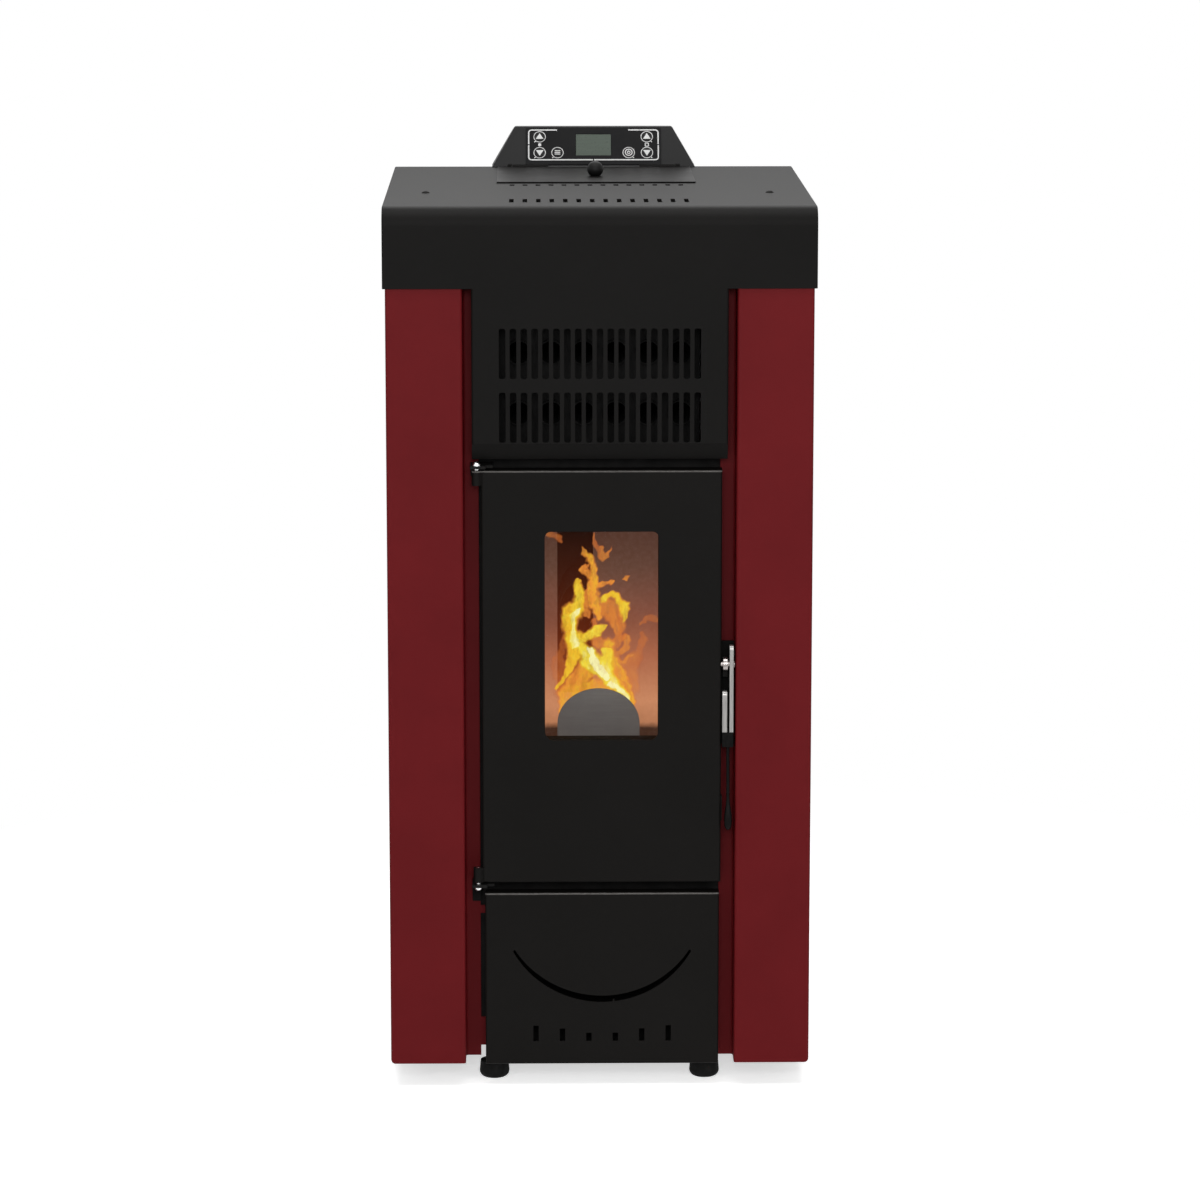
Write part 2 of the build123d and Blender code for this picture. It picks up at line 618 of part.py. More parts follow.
def hopper_lid():
    high = LID_LOW + LID_THICK
    lid = block((-LID_HALF, LID_HALF), (LID_FRONT, LID_PIN_Y), (LID_LOW, high))
    front = lid.edges().filter_by(Axis.Z).sort_by(Axis.Y)[:2]
    lid = fillet(front, 2.5)
    for side in (-1, 1):
        lid -= block((side * 97.9, side * 104.3), (LID_PIN_Y - 7, 503), (LID_LOW - 1, high + 1))
        barrel = rod_x(LID_BARREL_R, (side * 55, side * 97.9), LID_PIN_Y, LID_PIN_Z)
        lid += barrel
        lid -= rod_x(LID_PIN_R + RUN, (side * 50, side * 99), LID_PIN_Y, LID_PIN_Z)
    lid -= rod_x(LID_PIN_R + 0.6, (-55, 55), LID_PIN_Y, LID_PIN_Z)
    return lid - rod_z(KNOB_STUD_R + 0.02, 0, KNOB_Y, (LID_LOW - 1, high + 1))


def lid_knob():
    """Ball cut flat where it sits on the lid, with a stud down through the lid."""
    low = LID_LOW + LID_THICK
    ball = Pos(0, KNOB_Y, low + KNOB_RISE) * Sphere(KNOB_R)
    ball -= block((-KNOB_R, KNOB_R), (KNOB_Y - KNOB_R, KNOB_Y + KNOB_R), (low - KNOB_R, low))
    return ball + rod_z(KNOB_STUD_R, 0, KNOB_Y, (LID_LOW, low))


def lid_seal():
    z = (LID_LOW - 2, LID_LOW)
    ring = block((-106.5, 106.5), (302, 494), z)
    return ring - block((-101.5, 101.5), (307, 489), (z[0] - 1, z[1] + 1))


# ---------------------------------------------------------------- smoke and air
def scroll(x, radius, mouth):
    """Round drum on the fan axis joined to a straight mouth, as one solid."""
    return rod_x(radius, x, FAN_Y, FAN_Z) + block(x, mouth[0], mouth[1])


def smoke_duct_core(inset):
    x = (SMOKE_DUCT_X[0] + inset, SMOKE_DUCT_X[1] - inset)
    y = (SMOKE_DUCT_Y[0] + inset, SMOKE_DUCT_Y[1] - inset)
    low, high = SMOKE_DUCT_LOW + inset, SMOKE_DUCT_HIGH - inset
    riser = block(x, y, (low, high))
    arm = block((x[0], -SHELL_HALF), y, (800 + inset, high))
    foot = block(x, (y[0], 440 - inset), (low, 250 - inset))
    return riser + arm + foot


def smoke_duct():
    duct = smoke_duct_core(0) - smoke_duct_core(THIN)
    duct -= block((-SHELL_HALF - 5, -SHELL_HALF + 1), PORT_Y, PORT_Z)
    return duct - rod_x(SMOKE_EYE_R, (SMOKE_DUCT_X[1] - 3, SMOKE_DUCT_X[1] + 1), FAN_Y, FAN_Z)


def smoke_fan_housing():
    x = SMOKE_FAN_X
    r = FAN_Z - FLUE_Z + FLUE_R
    outer = scroll(x, r, ((FAN_Y, FLUE_START), (FLUE_Z - FLUE_R, FLUE_Z + FLUE_R)))
    inner_x = (x[0] + SHEET, x[1] - SHEET)
    mouth = ((FAN_Y, FLUE_START - SHEET), (FLUE_Z - FLUE_R + SHEET, FLUE_Z + FLUE_R - SHEET))
    housing = outer - scroll(inner_x, r - SHEET, mouth)
    housing -= rod_y(FLUE_R - THIN - 4, FLUE_X, (FLUE_START - SHEET - 1, FLUE_START + 1), FLUE_Z)
    housing -= rod_x(SMOKE_EYE_R, (x[0] - 1, x[0] + SHEET + 1), FAN_Y, FAN_Z)
    return housing - rod_x(9, (x[1] - SHEET - 1, x[1] + 1), FAN_Y, FAN_Z)


def smoke_impeller():
    wheel = rod_x(IMPELLER_R, (-108, -105), FAN_Y, FAN_Z) + rod_x(11, (-150, -104), FAN_Y, FAN_Z)
    for index in range(IMPELLER_BLADES):
        vane = block((-150, -107), (9, IMPELLER_R - 2), (-1.2, 1.2))
        wheel += Pos(0, FAN_Y, FAN_Z) * Rot(index * 360.0 / IMPELLER_BLADES, 0, 0) * vane
    return wheel + rod_x(FAN_SHAFT_R, (-105, -60), FAN_Y, FAN_Z)


def smoke_fan_motor():
    motor = rod_x(38, (-92, -44), FAN_Y, FAN_Z) + rod_x(28, (-44, -32), FAN_Y, FAN_Z)
    for index in range(7):
        ring = rod_x(39, (-84 + index * 5.5, -81 + index * 5.5), FAN_Y, FAN_Z)
        motor -= ring - rod_x(35, (-90, -40), FAN_Y, FAN_Z)
    return motor - rod_x(FAN_SHAFT_R + RUN, (-93, -55), FAN_Y, FAN_Z)


def flue_spigot():
    pipe = rod_y(FLUE_R, FLUE_X, (FLUE_START, FLUE_END), FLUE_Z)
    pipe += rod_y(FLUE_R + 7, FLUE_X, (FLUE_START, FLUE_START + 3), FLUE_Z)
    return pipe - rod_y(FLUE_R - THIN, FLUE_X, (FLUE_START - 1, FLUE_END + 1), FLUE_Z)


def air_intake_pipe():
    pipe = rod_y(AIR_R, 0, (SHELL_BACK, AIR_END), AIR_Z)
    return pipe - rod_y(AIR_R - THIN, 0, (SHELL_BACK - 1, AIR_END + 1), AIR_Z)


def blower_housing():
    x = BLOWER_X
    radius = BLOWER_R
    outer = scroll(x, radius, ((FAN_Y - radius, FAN_Y - 12), (FAN_Z, 290)))
    mouth = ((FAN_Y - radius + THIN, FAN_Y - 12 - THIN), (FAN_Z, 291))
    inner = scroll((x[0] + THIN, x[1] - THIN), radius - THIN, mouth)
    housing = outer - inner - rod_x(42, (x[1] - 5, x[1] + 1), FAN_Y, FAN_Z)
    return housing - rod_x(9, (x[0] - 1, x[0] + 5), FAN_Y, FAN_Z)


def blower_rotor():
    wheel = rod_x(ROTOR_R, (100, 103), FAN_Y, FAN_Z) + rod_x(10, (99, 125), FAN_Y, FAN_Z)
    wheel += rod_x(ROTOR_R, (152, 155), FAN_Y, FAN_Z) - rod_x(ROTOR_R - 10, (150, 157), FAN_Y, FAN_Z)
    for index in range(ROTOR_BLADES):
        vane = block((102, 153), (ROTOR_R - 9, ROTOR_R - 1), (-0.8, 0.8))
        wheel += Pos(0, FAN_Y, FAN_Z) * Rot(index * 360.0 / ROTOR_BLADES, 0, 0) * vane
    return wheel + rod_x(FAN_SHAFT_R, (55, 100), FAN_Y, FAN_Z)


def blower_motor():
    motor = rod_x(33, (42, 95), FAN_Y, FAN_Z) + rod_x(24, (30, 42), FAN_Y, FAN_Z)
    return motor - rod_x(FAN_SHAFT_R + RUN, (50, 96), FAN_Y, FAN_Z)


def air_duct_core(inset):
    x = (AIR_DUCT_X[0] + inset, AIR_DUCT_X[1] - inset)
    y = (AIR_DUCT_Y[0] + inset, AIR_DUCT_Y[1] - inset)
    front, high = PLENUM_Y[0] + inset, AIR_DUCT_HIGH - inset
    riser = block(x, y, (AIR_DUCT_LOW, high))
    arm = block(x, (front, y[1]), (790 + inset, high))
    plenum = block((-110 + inset, x[1]), (front, PLENUM_Y[1] - inset), (745 + inset, high))
    shoe = block((BLOWER_X[0] + inset, x[1]), y, (AIR_DUCT_LOW, 340 - inset))
    return riser + arm + plenum + shoe


def air_duct():
    duct = air_duct_core(0) - air_duct_core(THIN)
    inlet_x = (BLOWER_X[0] + THIN, BLOWER_X[1] - THIN)
    inlet_y = (AIR_DUCT_Y[0] + THIN, AIR_DUCT_Y[1] - THIN)
    duct -= block(inlet_x, inlet_y, (AIR_DUCT_LOW - 1, AIR_DUCT_LOW + 5))
    for x in TUBE_X:
        for z in TUBE_Z:
            duct -= rod_y(TUBE_R - THIN, x, (PLENUM_Y[0] - 1, PLENUM_Y[0] + THIN + 0.5), z)
    return duct


# ---------------------------------------------------------------- fire door
def folded_tray(x, z, deep):
    """Door skin: a flat front with its four edges turned back in a small bend."""
    skin = block(x, (DOOR_Y, DOOR_Y + deep), z)
    skin = fillet(skin.faces().sort_by(Axis.Y)[0].edges(), DOOR_BEND)
    inner_x = (x[0] + SHEET, x[1] - SHEET)
    inner_z = (z[0] + SHEET, z[1] - SHEET)
    return skin - block(inner_x, (DOOR_Y + SHEET, DOOR_Y + deep + 1), inner_z)


def fire_door_panel():
    door = folded_tray((DOOR_LEFT, DOOR_RIGHT), (DOOR_LOW, DOOR_HIGH), DOOR_DEEP)
    window = (DOOR_MID - WINDOW_HALF, DOOR_MID + WINDOW_HALF)
    door -= rounded_hole(window, (WINDOW_LOW, WINDOW_HIGH), (0, DOOR_Y + SHEET + 1), *WINDOW_CORNERS)
    for low in (DOOR_LOW, DOOR_HIGH - KNUCKLE_LENGTH):
        z = (low, low + KNUCKLE_LENGTH)
        door += rod_z(KNUCKLE_R, HINGE_X, HINGE_Y, z)
        door += block((HINGE_X, DOOR_LEFT + 1), (DOOR_Y + 1, 15), z)
        door -= rod_z(HINGE_R + RUN, HINGE_X, HINGE_Y, (z[0] - 1, z[1] + 1))
    door += block((DOOR_RIGHT - 1, DOOR_RIGHT + 1.2), (8, 20), (308, 336))
    return door - rod_x(PIVOT_R, (130, 140), PIVOT_Y, PIVOT_Z)


def door_inner_frame():
    y = (DOOR_Y + DOOR_DEEP, DOOR_Y + DOOR_DEEP + PLATE)
    plate = block((-118, 120), y, (250, 694))
    glass_back = DOOR_Y + SHEET + GLASS
    tunnel = block((DOOR_MID - 66, DOOR_MID + 66), (glass_back, y[1]), (398, 641))
    hole = (DOOR_MID - WINDOW_HALF, DOOR_MID + WINDOW_HALF)
    frame = plate + tunnel
    frame -= block(hole, (glass_back - 1, y[1] + 1), (WINDOW_LOW, WINDOW_HIGH))
    for x in ((DOOR_LEFT + SHEET, -117), (119, DOOR_RIGHT - SHEET)):
        for z in ((250, 262), (682, 694)):
            frame += block(x, y, z)
    for x in ((DOOR_LEFT + SHEET, -126), (130, DOOR_RIGHT - SHEET)):
        for z in ((250, 253), (691, 694)):
            frame += block(x, (DOOR_Y + SHEET, y[0] + 0.5), z)
    return frame


def door_glass():
    y = (DOOR_Y + SHEET, DOOR_Y + SHEET + GLASS)
    return block((DOOR_MID - 72, DOOR_MID + 72), y, (392, 647))


def glass_retainers():
    y = (DOOR_Y + SHEET + GLASS, DOOR_Y + SHEET + GLASS + 2)
    clips = []
    for x in (DOOR_MID - 76, DOOR_MID + 66.5):
        for z in (450, 520, 590):
            clip = block((x, x + 9.5), y, (z - 8, z + 8))
            clips.append(clip)
    return Compound(children=clips)


def door_rope_seal():
    y = (DOOR_Y + DOOR_DEEP + PLATE, FRAME_Y - GAP)
    outer = block((DOOR_MID - 116, DOOR_MID + 116), y, (254, 690))
    inner = block((DOOR_MID - 106, DOOR_MID + 106), (y[0] - 1, y[1] + 1), (264, 680))
    ring = outer - inner
    rounds = ring.edges().filter_by(Axis.Y)
    ring = fillet(rounds.sort_by_distance((DOOR_MID, 30, 472))[4:], 9)
    return ring


def hinge_pins():
    """Pins of both doors and the long pin of the hopper lid."""
    upper = rod_z(HINGE_R, HINGE_X, HINGE_Y, (DOOR_HIGH - KNUCKLE_LENGTH, 713))
    lower = rod_z(HINGE_R, HINGE_X, HINGE_Y, (230, DOOR_LOW + KNUCKLE_LENGTH))
    head = Pos(HINGE_X, HINGE_Y, 712) * Sphere(5) & rod_z(5, HINGE_X, HINGE_Y, (712, 718))
    foot = Pos(HINGE_X, HINGE_Y, 231.5) * Sphere(5) & rod_z(5, HINGE_X, HINGE_Y, (226, 231.5))
    ash = rod_z(ASH_PIN_R, ASH_HINGE_X, ASH_HINGE_Y, (201, 214))
    ash_low = rod_z(ASH_PIN_R, ASH_HINGE_X, ASH_HINGE_Y, (52, 63))
    lid = rod_x(LID_PIN_R, (-103.6, 103.6), LID_PIN_Y, LID_PIN_Z)
    return Compound(children=[upper + head, lower + foot, ash, ash_low, lid])


def latch_catch():
    plate = block((126, 151.4), (33.5, 36), (391, 509))
    tongue = block(LATCH_X, (12, 34), (472, PIVOT_Z - ROLLER_R - 0.5))
    spacers = block((126, 134), (36, FRAME_Y), (400, 412)) + block((126, 134), (36, FRAME_Y), (486, 498))
    return plate + tongue + spacers


def handle_pivot_pin():
    head = rod_x(4.6, (149.9, 151.3), PIVOT_Y, PIVOT_Z)
    head = fillet(head.edges().sort_by(Axis.X)[-1:], 1.1)
    return head + rod_x(PIVOT_R, (130, 150), PIVOT_Y, PIVOT_Z)


def latch_roller():
    roller = rod_x(ROLLER_R, LATCH_X, PIVOT_Y, PIVOT_Z)
    roller = fillet(roller.edges(), 0.8)
    return roller - rod_x(PIVOT_R + RUN, (130, 150), PIVOT_Y, PIVOT_Z)


def handle_lever():
    """Bar and cheek joined by a bridge, with a thin rod and a drop-shaped knob hung from it."""
    low = (BRIDGE_Z[0] + BRIDGE_Z[1]) / 2
    bar = block(BAR_X, LEVER_Y, (low, BAR_TOP))
    bar = fillet(bar.edges().filter_by(Axis.X), 5)
    cheek = block(CHEEK_X, LEVER_Y, (low, CHEEK_TOP))
    cheek = fillet(cheek.edges().filter_by(Axis.X).sort_by(Axis.Z)[-2:], 5)
    lever = bar + cheek + block((CHEEK_X[0], BAR_X[1]), LEVER_Y, BRIDGE_Z)
    lever -= rod_x(PIVOT_R + RUN, (CHEEK_X[0], BAR_X[1] + 2), PIVOT_Y, PIVOT_Z)
    end = Vector(*ROD_END)
    along = end - Vector(*ROD_TOP)
    rod = Solid.make_cylinder(ROD_R, along.length + 4, Plane(origin=ROD_TOP, z_dir=along))
    drop = [(0, 0), (ROD_R, 0), (2.4, 6), (4.0, 18), (4.4, 27), (3.4, 33), (0, 36)]
    lower = Line(drop[0], drop[1])
    belly = Spline(*drop[1:], tangents=[(0.1, 1), (-1, 0)])
    axis = Line(drop[-1], drop[0])
    knob = revolve(Plane.XZ * make_face([lower, belly, axis]), Axis.Z)
    return lever + rod + Plane(origin=end, z_dir=along) * knob


# ---------------------------------------------------------------- ash door
def crescent():
    """Smile-shaped cut between two arcs, with short blunt ends."""
    arcs = []
    for low, (half, high) in zip(CRESCENT_LOW, CRESCENT_TIP):
        arcs.append(ThreePointArc((ASH_MID - half, 0, high), (ASH_MID, 0, low), (ASH_MID + half, 0, high)))
    ends = [Line(arcs[0] @ share, arcs[1] @ share) for share in (0, 1)]
    return extrude(make_face([*arcs, *ends]), 30, dir=(0, 1, 0))


def ash_door_panel():
    door = folded_tray((ASH_LEFT, ASH_RIGHT), (ASH_LOW, ASH_HIGH), ASH_DEEP)
    bridge = block((ASH_MID + 12, ASH_MID + 14), (0, DOOR_Y + SHEET), (90, 101))
    door -= crescent() - bridge
    for offset_x, height in SLOTS:
        for side in (-1, 1):
            x = ASH_MID + side * offset_x
            door -= block((x - 3, x + 3), (0, DOOR_Y + SHEET + 1), (SLOT_LOW, SLOT_LOW + height))
    door -= block((ASH_LEFT - 1, ASH_LEFT + SHEET + 0.1), (20, 30), (ASH_LOW - 1, ASH_HIGH + 1))
    for low in (205.5, 54.5):
        lug = block((ASH_LEFT + SHEET - 1, -116), (10, 30), (low, low + 5))
        door += lug - rod_z(ASH_PIN_R + RUN, ASH_HINGE_X, ASH_HINGE_Y, (low - 1, low + 6))
    return door


# ---------------------------------------------------------------- controls
SLOPE = Pos(0, POD_Y, TOP) * Rot(90 - POD_TILT, 0, 0)   # local x across, y up the slope, z outwards


def pod_solid(inset):
    lean = (POD_FOOT_HALF - POD_TOP_HALF) / (POD_HIGH - TOP)
    high = POD_HIGH - inset
    foot = POD_FOOT_HALF - inset
    top = foot - (high - TOP) * lean
    front = POD_Y + inset * 1.15
    crest = front + (high - TOP) * tan(radians(POD_TILT))
    back = POD_BACK - inset
    inner_y = REAR_Y + SHEET + 1.5 + inset
    profile = [
        (front, TOP),
        (crest, high),
        (back - 8, high),
        (back, high - 8),
        (back, POD_SKIRT),
        (inner_y, POD_SKIRT),
        (inner_y, TOP),
    ]
    half = [(foot, POD_SKIRT), (foot, TOP), (top, high)]
    outline = half + [(-x, z) for x, z in reversed(half)]
    return side_shape(profile, (-foot, foot)) & front_shape(outline, (POD_Y - 10, POD_BACK + 10))


def control_pod():
    outer = pod_solid(0)
    crown = outer.edges().filter_by(Axis.X, reverse=True)
    crown = [e for e in crown if e.center().Z > POD_HIGH - 0.5]
    outer = fillet(crown, 4)
    hollow = pod_solid(THIN)
    pod = outer - hollow
    below = POD_FOOT_HALF - 6
    pod -= block((-below, below), (522.5, POD_BACK - THIN), (POD_SKIRT - 1, POD_SKIRT + 3))
    mouth = SLOPE * block((-78.5, 78.5), (5, 49), (-3, 1))
    return pod - mouth


def control_panel():
    panel = block((-PANEL_HALF, PANEL_HALF), PANEL_V, (0, 2))
    panel = fillet(panel.edges().filter_by(Axis.Z), 1.5)
    for u, v in KEY_PLACES.values():
        panel -= rod_z(KEY_R + GAP, u, v, (-1, 3))
    panel -= block((-LCD_HALF - 0.2, LCD_HALF + 0.2), (LCD_V[0] - 0.2, LCD_V[1] + 0.2), (-1, 3))
    return SLOPE * panel


def lcd_display():
    glass = block((-LCD_HALF, LCD_HALF), LCD_V, (-4.5, 1.6))
    return SLOPE * glass


def key(u, v):
    cap = rod_z(KEY_R, u, v, (-3.5, 2.8))
    cap = fillet(cap.edges().sort_by(Axis.Z)[-1:], 0.7)
    return SLOPE * cap


def circuit_board():
    board = block((-76, 76), (6, 48), (-8.2, -6.6))
    board += block((-LCD_HALF, LCD_HALF), LCD_V, (-6.7, -4.5))
    return SLOPE * board


def power_inlet():
    body = block(INLET_X, (488, REAR_Y + SHEET), INLET_Z)
    rear = REAR_Y + SHEET
    flange = block((INLET_X[0] - 4, INLET_X[1] + 4), (rear, rear + 2), (INLET_Z[0] - 4, INLET_Z[1] + 4))
    inlet = body + fillet(flange.edges().filter_by(Axis.Y), 3)
    inlet -= rounded_hole((184, 210), (73, 92), (502, 523), 3, 1)
    inlet -= block((185, 209), (502, 523), (ROCKER_Z - 13, ROCKER_Z + 13))
    for x, z in ((190, 84), (197, 80), (204, 84)):
        inlet += block((x - 1, x + 1), (501, 515), (z - 2.2, z + 2.2))
    bore = (ROCKER_X[0] - 4, ROCKER_X[1] + 4)
    return inlet - rod_x(TRUNNION_R + RUN, bore, ROCKER_Y, ROCKER_Z)


def rocker_switch():
    points = [(-6, -11), (5.0, -11), (3.0, 0), (5.0, 11), (-6, 11)]
    rocker = side_shape(points, ROCKER_X)
    rocker += rod_x(TRUNNION_R, (ROCKER_X[0] - 3, ROCKER_X[1] + 3), 0, 0)
    place = Pos(0, ROCKER_Y, ROCKER_Z)
    return place * Rot(7, 0, 0) * rocker


PIECES = {
    "top_cover": top_cover,
    "cover_screws": cover_screws,
    "left_side_panel": left_side_panel,
    "right_side_panel": right_side_panel,
    "rear_panel": rear_panel,
    "base_plate": base_plate,
    "levelling_feet": levelling_feet,
    "foot_studs": foot_studs,
    "front_frame": front_frame,
    "firebox_shell": firebox_shell,
    "firebox_liners": firebox_liners,
    "baffle_plate": baffle_plate,
    "burn_pot": burn_pot,
    "ember_plate": ember_plate,
    "igniter": igniter,
    "exchanger_shell": exchanger_shell,
    "exchanger_tubes": exchanger_tubes,
    "ash_pan": ash_pan,
    "hopper": hopper,
    "hopper_grid": hopper_grid,
    "auger_tube": auger_tube,
    "auger_screw": auger_screw,
    "auger_motor": auger_motor,
    "pellet_chute": pellet_chute,
    "hopper_lid": hopper_lid,
    "lid_knob": lid_knob,
    "lid_seal": lid_seal,
    "smoke_duct": smoke_duct,
    "smoke_fan_housing": smoke_fan_housing,
    "smoke_impeller": smoke_impeller,
    "smoke_fan_motor": smoke_fan_motor,
    "flue_spigot": flue_spigot,
    "air_intake_pipe": air_intake_pipe,
    "blower_housing": blower_housing,
    "blower_rotor": blower_rotor,
    "blower_motor": blower_motor,
    "air_duct": air_duct,
    "fire_door_panel": fire_door_panel,
    "door_inner_frame": door_inner_frame,
    "door_glass": door_glass,
    "glass_retainers": glass_retainers,
    "door_rope_seal": door_rope_seal,
    "hinge_pins": hinge_pins,
    "latch_catch": latch_catch,
    "handle_pivot_pin": handle_pivot_pin,
    "latch_roller": latch_roller,
    "handle_lever": handle_lever,
    "ash_door_panel": ash_door_panel,
    "control_pod": control_pod,
    "control_panel": control_panel,
    "lcd_display": lcd_display,
    "circuit_board": circuit_board,
    "power_inlet": power_inlet,
    "rocker_switch": rocker_switch,
}

os.makedirs("parts", exist_ok=True)
shapes = {name: make() for name, make in PIECES.items()}
for name, (u, v) in KEY_PLACES.items():
    shapes[name] = key(u, v)

# The finished stove stands over the middle of its box, flue and handle included.
front = min(shape.bounding_box().min.Y for shape in shapes.values())
back = max(shape.bounding_box().max.Y for shape in shapes.values())
shift = -round((front + back) / 2, 1)
for name, shape in shapes.items():
    export_step(Pos(0, shift, 0) * shape, f"parts/{name}.step")
print(len(shapes), "nodes, moved by", shift)
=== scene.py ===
import json
import math

import bmesh
import bpy
import numpy as np
from mathutils import Matrix, Vector


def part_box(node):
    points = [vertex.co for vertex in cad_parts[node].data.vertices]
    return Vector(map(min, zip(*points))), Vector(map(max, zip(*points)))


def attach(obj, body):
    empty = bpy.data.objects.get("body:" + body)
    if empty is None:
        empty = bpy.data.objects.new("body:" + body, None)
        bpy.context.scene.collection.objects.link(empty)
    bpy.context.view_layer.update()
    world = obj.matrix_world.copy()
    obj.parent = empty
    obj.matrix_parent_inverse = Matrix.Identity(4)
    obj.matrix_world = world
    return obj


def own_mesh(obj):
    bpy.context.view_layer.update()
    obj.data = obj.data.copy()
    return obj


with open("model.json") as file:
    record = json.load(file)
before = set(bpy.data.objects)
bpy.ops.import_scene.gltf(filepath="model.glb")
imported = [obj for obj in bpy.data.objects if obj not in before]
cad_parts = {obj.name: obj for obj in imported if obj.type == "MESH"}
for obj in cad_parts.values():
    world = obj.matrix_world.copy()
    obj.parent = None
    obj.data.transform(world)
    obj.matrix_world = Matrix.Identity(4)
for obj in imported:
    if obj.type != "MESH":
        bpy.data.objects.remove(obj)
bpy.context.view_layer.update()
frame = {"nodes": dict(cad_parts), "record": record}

# Pellet stove. Metres, x to the right, y to the back, z up, floor at zero.
MM = 0.001
FRONT_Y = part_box("top_cover")[0].y          # the cover's front face

# The photograph was taken level, with the lens shifted. This camera is further off and looks down.
EYE = Vector((-0.076, FRONT_Y - 5.0, 1.475))
AIM = Vector((0.0, FRONT_Y, 0.562))
VIEW_WIDTH = 1.337                          # what the picture spans at the cover's front
SENSOR_WIDTH = 36.0


def at(x, y, z):
    """The place so many millimetres right of the middle, behind the cover's front and up."""
    return Vector((x * MM, FRONT_Y + y * MM, z * MM))


# ---------------------------------------------------------------- materials
EASED_RADIUS = 0.0008                       # how far the shading eases every edge
EDGE_START, EDGE_FULL = 0.995, 0.90         # cosine of eased to real normal: edge wear and painted edge highlight start, are full


class Finish:
    """One procedural material, built around a Principled shader."""

    def __init__(self, name, roughness=0.5, metallic=0.0, specular=0.5):
        self.material = bpy.data.materials.new(name)
        self.material.use_nodes = True
        self.nodes = self.material.node_tree.nodes
        self.links = self.material.node_tree.links
        self.shader = self.nodes["Principled BSDF"]
        self.shader.inputs["Roughness"].default_value = roughness
        self.shader.inputs["Metallic"].default_value = metallic
        self.shader.inputs["Specular IOR Level"].default_value = specular
        self.place = self.node("ShaderNodeTexCoord").outputs["Object"]

    def node(self, kind, settings=None, **inputs):
        made = self.nodes.new(kind)
        for key, value in (settings or {}).items():
            setattr(made, key, value)
        for key, value in inputs.items():
            self.set(made.inputs[key.replace("_", " ")], value)
        return made

    def set(self, socket, value):
        if isinstance(value, bpy.types.NodeSocket):
            self.links.new(value, socket)
        else:
            socket.default_value = value

    def stretched(self, x, y, z):
        """Object coordinates scaled unevenly, for brushed or drawn grain."""
        node = self.node("ShaderNodeMapping", Vector=self.place)
        node.inputs["Scale"].default_value = (x, y, z)
        return node.outputs["Vector"]

    def warped(self, per_metre, reach):
        """Object coordinates pushed about by soft noise, for uneven cells."""
        push = self.node("ShaderNodeTexNoise", Vector=self.place, Scale=per_metre).outputs["Color"]
        centred = self.node("ShaderNodeVectorMath", {"operation": "SUBTRACT"})
        self.links.new(push, centred.inputs[0])
        centred.inputs[1].default_value = (0.5, 0.5, 0.5)
        scaled = self.node("ShaderNodeVectorMath", {"operation": "SCALE"}, Scale=reach)
        self.links.new(centred.outputs[0], scaled.inputs[0])
        moved = self.node("ShaderNodeVectorMath", {"operation": "ADD"})
        self.links.new(self.place, moved.inputs[0])
        self.links.new(scaled.outputs[0], moved.inputs[1])
        return moved.outputs[0]

    def noise(self, per_metre, detail=3.0, rough=0.55, vector=None):
        """Soft noise from 0 to 1, over Object coordinates unless others are given."""
        node = self.node(
            "ShaderNodeTexNoise",
            Vector=vector or self.place,
            Scale=per_metre,
            Detail=detail,
            Roughness=rough,
        )
        return node.outputs["Fac"]

    def patches(self, per_metre, detail, low, high, to_low=0.0, to_high=1.0):
        """Soft patches: noise with low..high of it mapped to to_low..to_high."""
        return self.span(self.noise(per_metre, detail), low, high, to_low, to_high)

    def mottled(self, per_metre, detail, low, high, first, second):
        """Two colours in soft patches."""
        return self.mix(self.patches(per_metre, detail, low, high), first, second)

    def cells(self, per_metre, feature="F1"):
        settings = {"feature": feature}
        node = self.node("ShaderNodeTexVoronoi", settings, Vector=self.place, Scale=per_metre)
        return node.outputs["Distance"]

    def span(self, value, low, high, to_low=0.0, to_high=1.0):
        """Map low..high of a value to to_low..to_high, clamped."""
        node = self.node("ShaderNodeMapRange", Value=value)
        node.inputs["From Min"].default_value = low
        node.inputs["From Max"].default_value = high
        node.inputs["To Min"].default_value = to_low
        node.inputs["To Max"].default_value = to_high
        return node.outputs["Result"]

    def math(self, operation, a, b=0.0):
        node = self.node("ShaderNodeMath", {"operation": operation})
        self.set(node.inputs[0], a)
        self.set(node.inputs[1], b)
        return node.outputs[0]

    def mix(self, share, first, second):
        """Blend of two colours, which are sockets 6 and 7 of an RGBA mix node; its result is 2."""
        node = self.node("ShaderNodeMix", {"data_type": "RGBA"})
        self.set(node.inputs[0], share)
        for socket, colour in ((node.inputs[6], first), (node.inputs[7], second)):
            self.set(socket, colour if isinstance(colour, bpy.types.NodeSocket) else (*colour, 1.0))
        return node.outputs[2]

    def rounded(self):
        """The surface normal with every edge eased over a small radius."""
        if not hasattr(self, "eased"):
            node = self.node("ShaderNodeBevel", {"samples": 4}, Radius=EASED_RADIUS)
            self.eased = node.outputs["Normal"]
        return self.eased

    def edges(self):
        """A mask along outer edges, for edge wear and a painted edge highlight, from the eased
        normal against the real one.
        """
        real = self.node("ShaderNodeNewGeometry").outputs["Normal"]
        dot = self.node("ShaderNodeVectorMath", {"operation": "DOT_PRODUCT"})
        self.links.new(self.rounded(), dot.inputs[0])
        self.links.new(real, dot.inputs[1])
        return self.span(dot.outputs["Value"], EDGE_START, EDGE_FULL)

    def axis(self, letter):
        """One Object coordinate on its own."""
        return self.node("ShaderNodeSeparateXYZ", Vector=self.place).outputs[letter]

